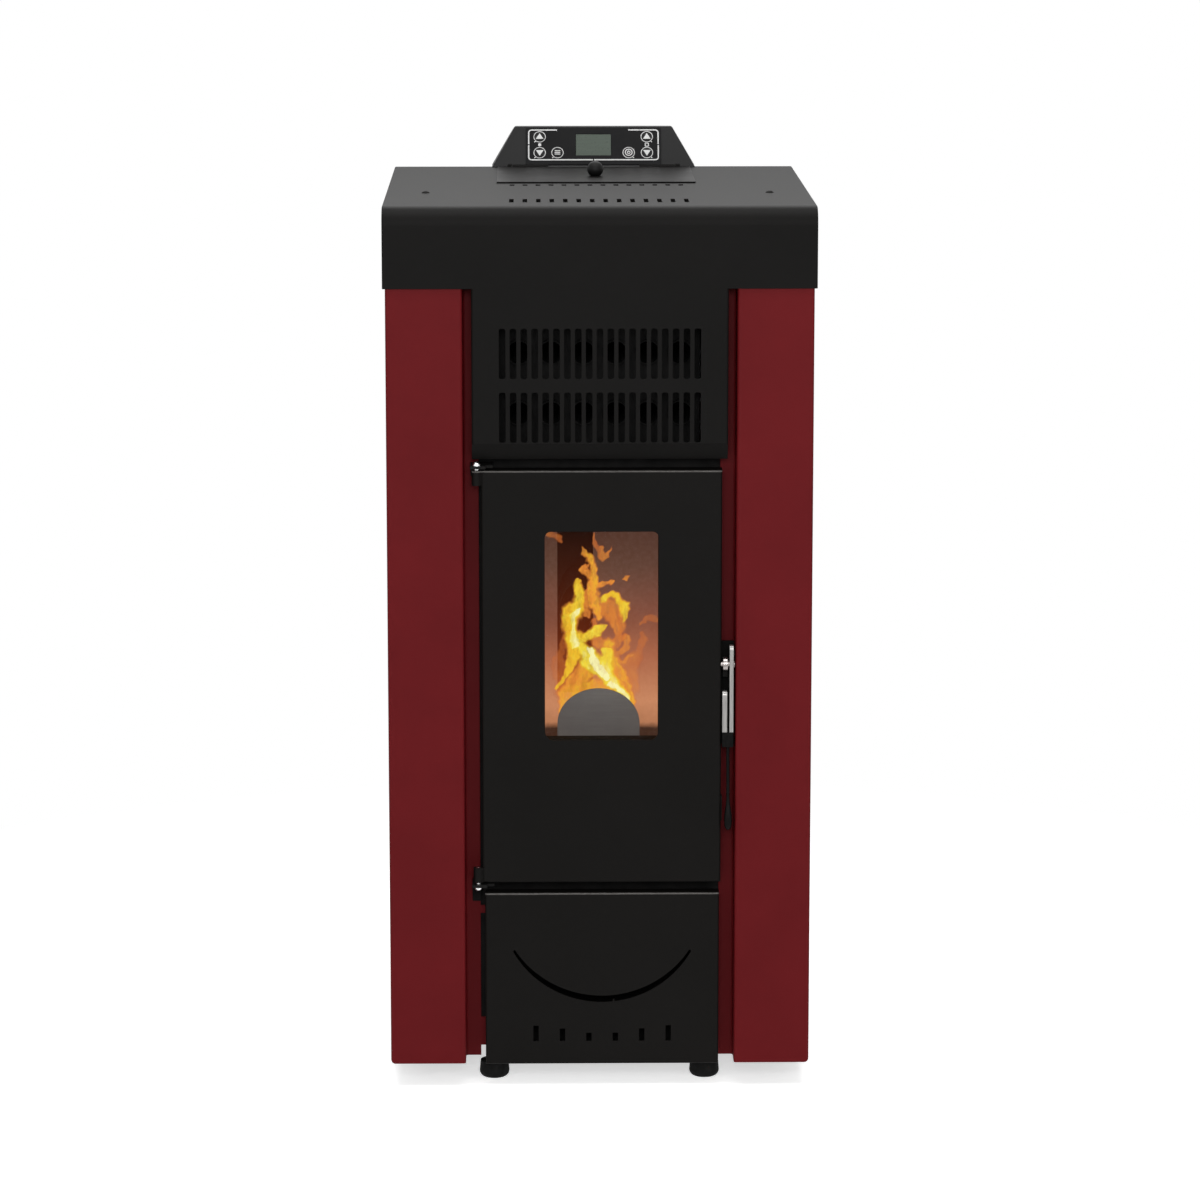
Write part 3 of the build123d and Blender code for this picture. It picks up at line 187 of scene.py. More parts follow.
    def ramp(self, value, stops):
        """Colour read off a ramp of (place, colour) stops."""
        node = self.node("ShaderNodeValToRGB", Fac=value)
        points = node.color_ramp.elements
        while len(points) < len(stops):
            points.new(0.5)
        for point, (place, colour) in zip(points, stops):
            point.position = place
            point.color = (*colour, 1.0)
        return node.outputs["Color"]

    def glow(self, colour, strength=1.0):
        self.set(self.shader.inputs["Emission Color"], colour)
        self.set(self.shader.inputs["Emission Strength"], strength)

    def bump(self, height, depth, strength=1.0):
        node = self.node("ShaderNodeBump", Height=height, Distance=depth, Strength=strength)
        self.links.new(self.rounded(), node.inputs["Normal"])
        self.links.new(node.outputs["Normal"], self.shader.inputs["Normal"])

    def colour(self, value):
        self.set(self.shader.inputs["Base Color"], value)

    def roughness(self, value):
        self.set(self.shader.inputs["Roughness"], value)

    def surface(self, share, first, second):
        """The material is a blend of two shaders instead of the Principled one alone."""
        mix = self.node("ShaderNodeMixShader", Fac=share)
        self.links.new(first, mix.inputs[1])
        self.links.new(second, mix.inputs[2])
        self.links.new(mix.outputs[0], self.nodes["Material Output"].inputs["Surface"])


def coat_skin(f, roughness):
    """The orange-peel skin and slightly uneven satin of a powder coat."""
    f.roughness(f.patches(900.0, 3.0, 0.3, 0.7, roughness - 0.02, roughness + 0.02))
    peel = f.math("ADD", f.noise(700.0, detail=2.0), f.math("MULTIPLY", f.noise(2400.0), 0.4))
    f.bump(peel, 0.00005, 0.4)
    return f.material


def powder_coat(name, dark, light, edge, roughness, specular):
    """Satin powder coat: orange-peel skin, faint cloudiness, lighter along the edges from wear and
    a painted edge highlight.
    """
    f = Finish(name, roughness, specular=specular)
    body = f.mottled(9.0, 4.0, 0.35, 0.65, dark, light)
    body = f.mix(f.patches(1600.0, 2.0, 0.62, 0.80, 0.0, 0.25), body, edge)
    # edge wear and painted edge highlight: the edges are lightened towards the edge colour
    edge_wear_and_highlight = f.math("MULTIPLY", f.edges(), f.patches(60.0, 3.0, 0.35, 0.7, 0.15, 0.6))
    f.colour(f.mix(edge_wear_and_highlight, body, edge))
    return coat_skin(f, roughness)


def black_paint():
    return powder_coat("black_powder_coat", (0.0026, 0.0023, 0.0020), (0.0034, 0.0030, 0.0027),
                       (0.011, 0.0106, 0.0100), 0.55, 0.08)


def red_paint():
    return powder_coat("red_powder_coat", (0.097, 0.0042, 0.0059), (0.110, 0.0051, 0.0070),
                       (0.142, 0.014, 0.016), 0.52, 0.085)


# How far below a door's top edge the painted highlight band on its fold starts, is full, leaves off
# and ends.
BAND_START, BAND_FULL, BAND_LEAVES, BAND_END = 0.0024, 0.0016, 0.0007, 0.0003
BAND_WAVER = 0.0004


def painted_highlight_fold(name, top):
    """The black coat of a door whose top fold, ending at the given height, carries a painted pale
    highlight.
    """
    f = Finish(name, 0.55, specular=0.08)
    body = f.mottled(9.0, 4.0, 0.35, 0.65, (0.0026, 0.0022, 0.0018), (0.0034, 0.0029, 0.0025))
    waver = f.math("MULTIPLY", f.math("SUBTRACT", f.noise(60.0, 3.0), 0.5), BAND_WAVER)
    height = f.math("ADD", f.axis("Z"), waver)
    below = f.span(height, top - BAND_START, top - BAND_FULL)
    above = f.span(height, top - BAND_LEAVES, top - BAND_END, 1.0, 0.0)
    highlight_band = f.math("MULTIPLY", below, above)
    # painted highlight: a pale band on the top fold stands in for light caught by the door's bend
    wear_and_painted_highlight = f.mottled(300.0, 4.0, 0.3, 0.7, (0.075, 0.070, 0.066), (0.105, 0.100, 0.095))
    f.colour(f.mix(highlight_band, body, wear_and_painted_highlight))
    return coat_skin(f, 0.55)


def lid_paint():
    """The hopper lid's coat, polished smoother than the cover by hands."""
    f = Finish("hopper_lid_coat", 0.4, specular=0.032)
    f.colour(f.mottled(9.0, 4.0, 0.35, 0.65, (0.0034, 0.0031, 0.0029), (0.0043, 0.0040, 0.0037)))
    f.roughness(f.patches(14.0, 3.0, 0.3, 0.7, 0.36, 0.42))
    f.bump(f.noise(700.0, 2.0), 0.00002, 0.3)
    return f.material


def heat_black():
    f = Finish("heat_resistant_black", 0.75, specular=0.10)
    f.colour(f.mottled(40.0, 5.0, 0.35, 0.7, (0.0045, 0.0044, 0.0043), (0.0085, 0.008, 0.0078)))
    f.roughness(f.patches(90.0, 5.0, 0.3, 0.7, 0.66, 0.82))
    f.bump(f.noise(1300.0, 3.0), 0.00008, 0.6)
    return f.material


def galvanised():
    """Zinc sheet with a soft spangle and rolling lines."""
    f = Finish("galvanised_sheet", 0.42, metallic=0.85)
    crystals = f.node("ShaderNodeTexVoronoi", Vector=f.warped(120.0, 0.002), Scale=110.0)
    spangle = f.node("ShaderNodeSeparateColor", Color=crystals.outputs["Color"]).outputs["Red"]
    lines = f.noise(500.0, 2.0, vector=f.stretched(0.06, 0.06, 1.0))
    body = f.mix(spangle, (0.30, 0.305, 0.31), (0.37, 0.375, 0.38))
    f.colour(f.mix(f.span(lines, 0.4, 0.7, 0.0, 0.25), body, (0.27, 0.275, 0.28)))
    dull = f.patches(25.0, 3.0, 0.3, 0.7, 0.40, 0.50)
    f.roughness(f.math("ADD", f.span(spangle, 0.0, 1.0, -0.04, 0.04), dull))
    f.bump(lines, 0.00004, 0.4)
    return f.material


def dusty_zinc():
    """The hopper's zinc sheet, dulled by wood dust that gathers in soft patches."""
    f = Finish("dusty_zinc", 0.6, metallic=0.6, specular=0.3)
    grit = f.patches(350.0, 3.0, 0.35, 0.65, 0.5, 1.0)
    dust = f.math("MULTIPLY", f.patches(9.0, 5.0, 0.4, 0.7), grit)
    zinc = f.mottled(160.0, 4.0, 0.35, 0.7, (0.16, 0.165, 0.17), (0.21, 0.215, 0.22))
    f.colour(f.mix(dust, zinc, (0.20, 0.155, 0.105)))
    f.roughness(f.span(dust, 0.0, 1.0, 0.5, 0.85))
    f.bump(f.noise(800.0, 3.0), 0.00005, 0.5)
    return f.material


def raw_steel():
    """Heat-stained steel: brown and grey stains, soot and grain."""
    f = Finish("heat_stained_steel", 0.5, metallic=0.8)
    stain = f.mottled(14.0, 4.0, 0.3, 0.7, (0.20, 0.17, 0.15), (0.26, 0.25, 0.26))
    f.colour(f.mottled(60.0, 6.0, 0.5, 0.75, stain, (0.08, 0.07, 0.065)))
    f.roughness(f.patches(80.0, 5.0, 0.3, 0.7, 0.42, 0.65))
    f.bump(f.noise(900.0, 3.0, vector=f.stretched(1.0, 1.0, 0.15)), 0.00006, 0.5)
    return f.material


def cast_iron():
    f = Finish("cast_iron", 0.62, metallic=0.4, specular=0.4)
    f.colour(f.mottled(50.0, 6.0, 0.35, 0.7, (0.045, 0.042, 0.040), (0.095, 0.088, 0.082)))
    f.roughness(f.patches(140.0, 5.0, 0.3, 0.7, 0.55, 0.8))
    f.bump(f.noise(1100.0, 6.0, 0.7), 0.0002, 0.8)
    return f.material


FIRE_LOW, FIRE_HIGH = 0.36, 0.62            # heights between which the lining takes its painted firelight
FOOT_SHADE_LINE, FOOT_SHADE_END = 0.363, 0.370            # where the painted shade on the lining's foot thins, and ends
FOOT_SHADE_WAVER = 0.008                           # lowers both by up to this
FIREBOX_HALF, FIREBOX_FLOOR = 0.1096, 0.342   # half its width inside, and its floor's height
FIREBOX_BACK = at(0, 282.6, 0).y
CHUTE_BACK = at(0, 420, 0).y                # painted firelight reaches up the chute as far as this


def fire_board():
    """Speckled mineral board with a painted firelight glow: pale orange low down, mauve brown
    above, with painted shade along its foot.
    """
    f = Finish("mineral_board", 0.9, specular=0.05)
    body = f.mottled(180.0, 5.0, 0.35, 0.7, (0.10, 0.080, 0.068), (0.14, 0.115, 0.10))
    f.colour(f.mix(f.patches(12.0, 5.0, 0.45, 0.75, 0.0, 0.6), body, (0.05, 0.04, 0.035)))
    cloud = f.math("MULTIPLY", f.math("SUBTRACT", f.noise(16.0, 4.0), 0.5), 0.16)
    height = f.math("ADD", f.span(f.axis("Z"), FIRE_LOW, FIRE_HIGH), cloud)
    # painted firelight: an emission ramp by height stands in for the fire's light on the lining
    light = f.ramp(height, [
        (0.00, (0.36, 0.150, 0.070)),
        (0.12, (0.56, 0.240, 0.120)),
        (0.30, (0.38, 0.125, 0.062)),
        (0.52, (0.185, 0.060, 0.037)),
        (0.75, (0.090, 0.040, 0.028)),
        (1.00, (0.060, 0.027, 0.020)),
    ])
    # painted shade: the glow dims to a dark brown along the lining's foot
    shade_height = f.math("ADD", f.axis("Z"), f.math("MULTIPLY", f.noise(45.0, 4.0), FOOT_SHADE_WAVER))
    foot = f.span(shade_height, FOOT_SHADE_LINE, FOOT_SHADE_END)
    f.glow(f.mix(foot, (0.030, 0.013, 0.008), light))
    f.bump(f.noise(600.0, 5.0), 0.0003, 0.7)
    return f.material


def firebox_steel(name, back):
    """Sooted steel with a painted dark red firelight glow where the fire reaches it, as far back as
    given.
    """
    f = Finish(name, 0.7, metallic=0.3, specular=0.15)
    f.colour(f.mottled(30.0, 5.0, 0.35, 0.7, (0.012, 0.010, 0.009), (0.030, 0.024, 0.020)))
    # painted firelight: the glow is masked to the inside of the firebox and ramps by height
    inside = f.math("LESS_THAN", f.math("ABSOLUTE", f.axis("X")), FIREBOX_HALF)
    inside = f.math("MULTIPLY", inside, f.math("LESS_THAN", f.axis("Y"), back))
    inside = f.math("MULTIPLY", inside, f.math("GREATER_THAN", f.axis("Z"), FIREBOX_FLOOR))
    light = f.ramp(f.span(f.axis("Z"), FIRE_LOW, FIRE_HIGH), [
        (0.00, (0.10, 0.030, 0.012)),
        (0.12, (0.38, 0.075, 0.020)),
        (0.35, (0.14, 0.022, 0.006)),
        (0.60, (0.060, 0.010, 0.003)),
        (0.90, (0.012, 0.003, 0.002)),
    ])
    f.glow(light, inside)
    f.bump(f.noise(500.0, 4.0), 0.0001, 0.6)
    return f.material


EMBER_PLATE_LOW, EMBER_PLATE_HIGH = 0.36, 0.43   # heights between which its painted light grows


def ember_steel():
    """Plain grey heat-proof sheet with a drawn grain and a painted glow that lights it a little
    more towards its top.
    """
    f = Finish("ember_plate_steel", 0.55, specular=0.2)
    grain = f.noise(700.0, 3.0, vector=f.stretched(0.05, 1.0, 1.0))
    body = f.mottled(25.0, 4.0, 0.3, 0.7, (0.140, 0.139, 0.137), (0.172, 0.171, 0.167))
    f.colour(f.mix(f.span(grain, 0.35, 0.7, 0.0, 0.4), body, (0.115, 0.113, 0.110)))
    # painted light: an emission ramp by height brightens the plate towards its top
    height = f.span(f.axis("Z"), EMBER_PLATE_LOW, EMBER_PLATE_HIGH)
    f.glow(f.ramp(height, [(0.0, (0.010, 0.010, 0.010)), (1.0, (0.034, 0.035, 0.034))]))
    f.roughness(f.span(grain, 0.3, 0.7, 0.45, 0.62))
    f.bump(grain, 0.00004, 0.5)
    return f.material


def sooted_sheet():
    """Sheet steel under a coat of soot and grey ash dust."""
    f = Finish("sooted_sheet", 0.9, specular=0.05)
    grit = f.patches(400.0, 3.0, 0.4, 0.6, 0.3, 1.0)
    dust = f.math("MULTIPLY", f.patches(22.0, 5.0, 0.5, 0.75), grit)
    soot = f.mottled(120.0, 4.0, 0.35, 0.7, (0.0028, 0.0026, 0.0025), (0.0050, 0.0046, 0.0044))
    f.colour(f.mix(f.span(dust, 0.0, 1.0, 0.0, 0.3), soot, (0.022, 0.021, 0.020)))
    f.roughness(f.patches(160.0, 4.0, 0.3, 0.7, 0.82, 0.97))
    f.bump(f.noise(1400.0, 3.0), 0.0001, 0.6)
    return f.material


DOOR_PINS_BELOW = 0.95                      # the doors' pins lie below this height, the lid's above


def pin_finish():
    """Plated steel pins at the doors; the lid's pin is painted over with the cover."""
    f = Finish("plated_and_painted_pins", 0.3)
    plated = f.math("LESS_THAN", f.axis("Z"), DOOR_PINS_BELOW)
    steel = f.mottled(300.0, 4.0, 0.4, 0.7, (0.74, 0.74, 0.74), (0.60, 0.60, 0.60))
    paint = f.mottled(90.0, 3.0, 0.4, 0.6, (0.0040, 0.0038, 0.0036), (0.0050, 0.0048, 0.0045))
    f.colour(f.mix(plated, paint, steel))
    f.set(f.shader.inputs["Metallic"], plated)
    matt = f.patches(420.0, 3.0, 0.3, 0.7, 0.50, 0.58)
    f.roughness(f.math("ADD", f.math("MULTIPLY", plated, -0.32), matt))
    f.bump(f.noise(900.0, 2.0), 0.00002, 0.3)
    return f.material


BRIDGE_TOP = 0.410                          # the lever is bare steel above its bridge
KNOB_TOP = 0.340                            # and has a glossy black knob below its rod


def handle_finish():
    """Brushed steel bar and cheek over a blackened bridge and rod and a glossy black knob."""
    f = Finish("handle_steel_and_black", 0.35, specular=0.2)
    bare = f.math("GREATER_THAN", f.axis("Z"), BRIDGE_TOP)
    knob = f.math("LESS_THAN", f.axis("Z"), KNOB_TOP)
    grain = f.noise(1100.0, 3.0, vector=f.stretched(1.0, 1.0, 0.06))
    steel = f.mix(f.span(grain, 0.35, 0.7), (0.34, 0.33, 0.32), (0.22, 0.215, 0.21))
    black = f.mottled(220.0, 4.0, 0.35, 0.7, (0.0030, 0.0030, 0.0030), (0.0060, 0.0057, 0.0054))
    f.colour(f.mix(bare, black, steel))
    f.set(f.shader.inputs["Metallic"], f.math("MULTIPLY", bare, 0.95))
    f.set(f.shader.inputs["Specular IOR Level"], f.span(bare, 0.0, 1.0, 0.05, 0.2))
    f.roughness(f.math("ADD", f.span(grain, 0.3, 0.7, 0.34, 0.46), f.math("MULTIPLY", knob, -0.28)))
    f.bump(grain, 0.00003, 0.4)
    return f.material


def rope_finish():
    f = Finish("woven_rope", 0.95, specular=0.1)
    weave = f.cells(420.0)
    f.colour(f.mix(f.span(weave, 0.1, 0.6), (0.035, 0.034, 0.033), (0.008, 0.008, 0.008)))
    f.shader.inputs["Sheen Weight"].default_value = 0.25
    f.bump(weave, 0.0004, 0.8)
    return f.material


def chrome():
    f = Finish("satin_steel", 0.3, metallic=1.0)
    f.colour(f.mottled(300.0, 4.0, 0.4, 0.7, (0.36, 0.33, 0.32), (0.24, 0.22, 0.21)))
    f.roughness(f.patches(420.0, 4.0, 0.35, 0.75, 0.20, 0.38))
    f.bump(f.noise(900.0, 2.0, vector=f.stretched(1.0, 0.1, 0.1)), 0.00001, 0.3)
    return f.material


def motor_metal():
    f = Finish("cast_aluminium", 0.5, metallic=0.7)
    f.colour(f.mottled(90.0, 5.0, 0.3, 0.7, (0.32, 0.32, 0.33), (0.44, 0.44, 0.45)))
    f.roughness(f.patches(200.0, 4.0, 0.3, 0.7, 0.42, 0.62))
    f.bump(f.noise(1500.0, 4.0), 0.0001, 0.6)
    return f.material


def rubber():
    f = Finish("black_rubber", 0.7, specular=0.12)
    f.colour(f.mottled(70.0, 5.0, 0.35, 0.7, (0.0036, 0.0036, 0.0036), (0.0070, 0.0068, 0.0065)))
    f.roughness(f.patches(150.0, 4.0, 0.3, 0.7, 0.62, 0.85))
    f.bump(f.noise(1500.0, 3.0), 0.0001, 0.5)
    return f.material


def black_plastic():
    f = Finish("black_plastic", 0.5, specular=0.12)
    f.colour(f.mottled(60.0, 4.0, 0.35, 0.7, (0.0036, 0.0036, 0.0036), (0.0056, 0.0056, 0.0056)))
    f.roughness(f.patches(300.0, 4.0, 0.3, 0.7, 0.42, 0.56))
    f.bump(f.noise(2500.0, 2.0), 0.00004, 0.5)
    return f.material


def pod_paint():
    return powder_coat("pod_satin_paint", (0.0078, 0.0078, 0.0078), (0.0100, 0.0100, 0.0100),
                       (0.024, 0.024, 0.024), 0.5, 0.11)


def panel_gloss():
    f = Finish("panel_film", 0.35, specular=0.05)
    f.colour(f.mottled(30.0, 3.0, 0.35, 0.7, (0.0040, 0.0040, 0.0043), (0.0056, 0.0056, 0.0060)))
    f.roughness(f.patches(260.0, 4.0, 0.3, 0.75, 0.31, 0.38))
    f.bump(f.noise(700.0, 2.0), 0.00001, 0.3)
    return f.material


def lcd_finish():
    """Grey-green display under a clear window, with its faint pixel rows."""
    f = Finish("liquid_crystal_display", 0.3, specular=0.15)
    rows = f.noise(1400.0, 1.0, vector=f.stretched(0.02, 1.0, 1.0))
    f.colour(f.mix(f.span(rows, 0.4, 0.6), (0.042, 0.056, 0.043), (0.048, 0.064, 0.049)))
    f.roughness(f.patches(300.0, 3.0, 0.3, 0.7, 0.25, 0.36))
    return f.material


def board_green():
    f = Finish("circuit_board", 0.4, specular=0.4)
    tracks = f.cells(500.0, "DISTANCE_TO_EDGE")
    f.colour(f.mix(f.span(tracks, 0.05, 0.12), (0.04, 0.16, 0.06), (0.01, 0.09, 0.03)))
    f.roughness(f.patches(300.0, 3.0, 0.3, 0.7, 0.3, 0.5))
    return f.material


def ceramic_glass():
    """Clear ceramic glass with a breath of soot and a faint reflection."""
    f = Finish("ceramic_glass", 0.05, specular=0.5)
    f.colour(f.mottled(20.0, 4.0, 0.35, 0.75, (0.01, 0.01, 0.01), (0.03, 0.025, 0.02)))
    f.roughness(f.patches(90.0, 4.0, 0.3, 0.75, 0.03, 0.12))
    clear = f.node("ShaderNodeBsdfTransparent", Color=(0.985, 0.97, 0.96, 1.0))
    share = f.math("MULTIPLY", f.node("ShaderNodeFresnel", IOR=1.45).outputs["Fac"], 0.3)
    f.surface(share, clear.outputs[0], f.shader.outputs[0])
    return f.material


def flame_finish():
    """Emission from each point's warmth, thinning to nothing by its cover."""
    f = Finish("flame")
    f.nodes.remove(f.shader)
    warmth = f.node("ShaderNodeAttribute", {"attribute_name": "warmth"}).outputs["Fac"]
    cover = f.node("ShaderNodeAttribute", {"attribute_name": "cover"}).outputs["Fac"]
    waver = f.noise(85.0, 4.0, 0.6, f.stretched(1.0, 1.0, 0.45))
    lick = f.math("MULTIPLY", f.math("SUBTRACT", waver, 0.5), 0.5)
    colour = f.ramp(f.math("ADD", warmth, lick), [
        (0.00, (0.30, 0.045, 0.012)),
        (0.28, (0.62, 0.17, 0.040)),
        (0.50, (0.82, 0.30, 0.045)),
        (0.68, (0.84, 0.50, 0.030)),
        (0.85, (0.88, 0.72, 0.060)),
        (1.00, (0.95, 0.93, 0.45)),
    ])
    fire = f.node("ShaderNodeEmission", Color=colour, Strength=1.05)
    clear = f.node("ShaderNodeBsdfTransparent")
    thin = f.span(f.noise(130.0, 5.0, 0.6, f.stretched(1.0, 1.0, 0.4)), 0.28, 0.55, 0.55, 1.0)
    f.surface(f.math("MULTIPLY", cover, thin), clear.outputs[0], fire.outputs[0])
    return f.material


def pellet_finish():
    """Wood pellets on fire: brown and charred, with orange light in patches."""
    f = Finish("burning_pellets", 0.9, specular=0.1)
    char = f.noise(260.0, 5.0)
    f.colour(f.mix(f.span(char, 0.35, 0.65), (0.03, 0.018, 0.012), (0.16, 0.085, 0.045)))
    hot = f.patches(70.0, 3.0, 0.42, 0.62)
    f.glow(f.ramp(hot, [
        (0.0, (0.10, 0.012, 0.003)),
        (0.5, (0.75, 0.20, 0.02)),
        (1.0, (0.95, 0.62, 0.12)),
    ]))
    f.bump(char, 0.0004, 0.8)
    return f.material


def legend_ink():
    """White screen-printed ink, faintly grained and a little worn."""
    f = Finish("legend_ink", 0.5, specular=0.2)
    wear_and_painted_highlight = f.patches(900.0, 3.0, 0.55, 0.8, 0.0, 0.5)
    f.colour(f.mix(wear_and_painted_highlight, (0.52, 0.52, 0.515), (0.36, 0.36, 0.36)))
    f.roughness(f.patches(500.0, 3.0, 0.3, 0.7, 0.42, 0.58))
    return f.material


def zinc_screw():
    f = Finish("zinc_plated_screw", 0.32, metallic=0.9)
    f.colour(f.mottled(400.0, 4.0, 0.35, 0.7, (0.36, 0.36, 0.35), (0.50, 0.50, 0.49)))
    f.roughness(f.patches(600.0, 3.0, 0.3, 0.7, 0.26, 0.42))
    f.bump(f.noise(1200.0, 2.0), 0.00003, 0.4)
    return f.material


FINISHES = {
    "black_paint": black_paint(),
    "red_paint": red_paint(),
    "galvanised": galvanised(),
    "heat_black": heat_black(),
    "cast_iron": cast_iron(),
    "raw_steel": raw_steel(),
    "fire_board": fire_board(),
    "ceramic_glass": ceramic_glass(),
    "rope": rope_finish(),
    "chrome": chrome(),
    "motor_metal": motor_metal(),
    "rubber": rubber(),
    "black_plastic": black_plastic(),
    "pod_plastic": pod_paint(),
    "panel_gloss": panel_gloss(),
    "lcd": lcd_finish(),
    "board_green": board_green(),
}


FIREBOX_STEEL = firebox_steel("firebox_steel", FIREBOX_BACK)
CHUTE_STEEL = firebox_steel("chute_steel", CHUTE_BACK)
OWN_FINISHES = {
    "fire_door_panel": painted_highlight_fold("fire_door_coat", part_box("fire_door_panel")[1].z),
    "ash_door_panel": painted_highlight_fold("ash_door_coat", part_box("ash_door_panel")[1].z),
    "hopper_lid": lid_paint(),
    "firebox_shell": FIREBOX_STEEL,
    "baffle_plate": FIREBOX_STEEL,
    "hopper": dusty_zinc(),
    "pellet_chute": CHUTE_STEEL,
    "auger_tube": CHUTE_STEEL,
    "exchanger_tubes": FINISHES["heat_black"],
    "exchanger_shell": FINISHES["heat_black"],
    "ember_plate": ember_steel(),
    "ash_pan": sooted_sheet(),
    "hinge_pins": pin_finish(),
    "handle_lever": handle_finish(),
}
FLAME, PELLETS, INK, SCREW = flame_finish(), pellet_finish(), legend_ink(), zinc_screw()


def dress_nodes():
    """Every CAD node takes the finish of its slot in the record, or its own."""
    for row in frame["record"]["subparts"]:
        mesh = frame["nodes"][row["node"]].data
        mesh.materials.clear()
        mesh.materials.append(OWN_FINISHES.get(row["node"], FINISHES[row["material_slot"]]))


def add_piece(name, mesh, finish, body):
    """A new object for the mesh, with its finish, moving with its body."""
    piece = bpy.data.objects.new(name, mesh)
    bpy.context.scene.collection.objects.link(piece)
    mesh.materials.append(finish)
    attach(piece, body)
    return piece


def add_form(name, form, finish, body, smooth=False):
    """A new piece from a form built up vertex by vertex."""
    mesh = bpy.data.meshes.new(name)
    form.to_mesh(mesh)
    form.free()
    if smooth:
        mesh.shade_smooth()
    add_piece(name, mesh, finish, body)


def join_loops(form, first, second):
    """A band of four-sided faces between two closed loops of as many vertices."""
    for index in range(len(first)):
        after = (index + 1) % len(first)
        form.faces.new((first[index], first[after], second[after], second[index]))


# ---------------------------------------------------------------- fire
def behind_window(x, z, y):
    """The place at depth y that the eye sees through (x, z) of the cover's front plane."""
    near = at(x, 0, z)
    share = (at(0, y, 0).y - EYE.y) / (near.y - EYE.y)
    return EYE + (near - EYE) * share


# A tongue of flame is (warmth, cover, points); a point is x, z and half the width there, in
# millimetres on the cover's front plane.
FRONT_FLAME = [
    (0.70, 1.0, [(-47, 463, 1.0), (-39, 477, 2.8), (-34, 486, 3.8), (-30, 494, 5.4),
                 (-28, 502, 8.5), (-28, 510, 10.5), (-31, 518, 10.5), (-33, 530, 11.5),
                 (-32, 542, 12.0), (-30, 550, 11.5), (-26, 558, 9.6), (-23, 566, 7.6),
                 (-23, 576, 6.2), (-22, 584, 1.5)]),
    (0.76, 1.0, [(-28, 519, 8.5), (-18, 520, 8.5), (-8, 524, 6.4), (0, 529, 4.0), (9, 532, 0.8)]),
    (0.93, 1.0, [(-29, 508, 4.0), (-31, 524, 5.5), (-28, 538, 4.0), (-25, 552, 2.0)]),
    (0.84, 1.0, [(-25, 510, 9.0), (-16, 502, 10.0), (-8, 492, 12.0), (0, 484, 13.0), (8, 476, 10.5),
                 (16, 466, 8.0), (26, 456, 6.5), (34, 446, 3.5)]),
    (0.80, 0.95, [(8, 505, 5.0), (8, 494, 9.5), (6, 482, 11.0)]),
    (1.12, 1.0, [(-12, 507, 2.0), (-8, 494, 5.5), (-3, 486, 5.0), (4, 479, 5.5), (9, 474, 3.0)]),
    (0.98, 0.95, [(12, 465, 4.0), (22, 461, 4.0), (30, 452, 3.5), (36, 444, 2.0)]),
    (0.54, 0.90, [(-42, 446, 6.0), (-36, 457, 11.0), (-27, 469, 14.0), (-16, 482, 15.0),
                  (-5, 488, 15.0), (6, 480, 14.0), (16, 468, 11.0), (28, 455, 8.0),
                  (36, 443, 3.5)]),
    (0.58, 0.88, [(-40, 438, 8.0), (-22, 454, 13.0), (-2, 460, 14.0), (18, 456, 10.0),
                  (32, 444, 6.0)]),
]
MIDDLE_FLAME = [
    (0.56, 1.0, [(-2, 544, 5.0), (-5, 556, 6.0), (-9, 570, 6.0), (-9, 580, 6.5), (-7, 588, 6.0),
                 (-6, 596, 5.0), (-11, 607, 4.0), (-16, 615, 3.0), (-19, 622, 1.0)]),
    (0.46, 0.95, [(-9, 588, 3.5), (-15, 592, 4.0), (-19, 597, 3.6), (-16, 602, 1.2)]),
    (0.46, 0.95, [(-6, 578, 4.0), (2, 581, 2.8), (8, 582, 2.0), (13, 584, 0.6)]),
    (0.42, 0.90, [(-15, 545, 3.6), (-15, 557, 4.6), (-15, 568, 4.6), (-10, 578, 3.5)]),
    (0.74, 1.0, [(3, 560, 4.0), (6, 565, 4.5), (12, 568, 4.5), (20, 564, 6.0), (26, 556, 6.0),
                 (28, 546, 4.0), (26, 538, 1.5)]),
    (0.42, 0.85, [(0, 556, 9.0), (10, 552, 11.0), (18, 545, 12.0), (18, 534, 9.0), (19, 526, 6.0)]),
    (0.36, 0.80, [(-8, 536, 4.0), (-6, 525, 4.5), (-2, 515, 6.0), (8, 509, 7.0), (19, 513, 6.0),
                  (26, 519, 4.0), (28, 524, 2.0)]),
    (0.38, 0.80, [(19, 528, 6.0), (19, 520, 5.0), (18, 513, 5.0)]),
    (0.58, 0.95, [(10, 508, 8.0), (12, 498, 10.0), (14, 486, 11.0), (20, 472, 11.0), (28, 460, 9.0),
                  (36, 447, 4.0)]),
]
REAR_FLAME = [
    (0.44, 0.70, [(28, 516, 4.0), (28, 506, 3.5), (21, 502, 3.0), (22, 494, 2.5), (28, 491, 2.5),
                  (35, 499, 1.0)]),
    (0.30, 0.45, [(47, 524, 2.0), (50, 518, 5.0), (44, 505, 6.0), (40, 489, 6.0), (36, 477, 3.0)]),
    (0.32, 0.45, [(47, 536, 1.0), (54, 541, 3.0), (62, 540, 3.0), (68, 536, 1.0)]),
    (0.44, 0.80, [(23, 584, 0.6), (28, 586, 2.2), (33, 589, 0.6)]),
    (0.34, 0.60, [(-8, 636, 1.0), (-6, 624, 3.0), (-1, 611, 2.0)]),
    (0.40, 0.70, [(0, 621, 2.0), (2, 612, 4.5), (8, 614, 3.5), (13, 620, 1.0)]),
    (0.34, 0.50, [(-56, 638, 4.0), (-50, 633, 4.0), (-44, 629, 1.5)]),
    (0.26, 0.40, [(-44, 455, 6.0), (-46, 480, 7.0), (-44, 505, 5.0), (-42, 520, 2.0)]),
    (0.32, 0.50, [(16, 450, 14.0), (34, 466, 13.0), (32, 486, 10.0), (38, 500, 5.0)]),
]


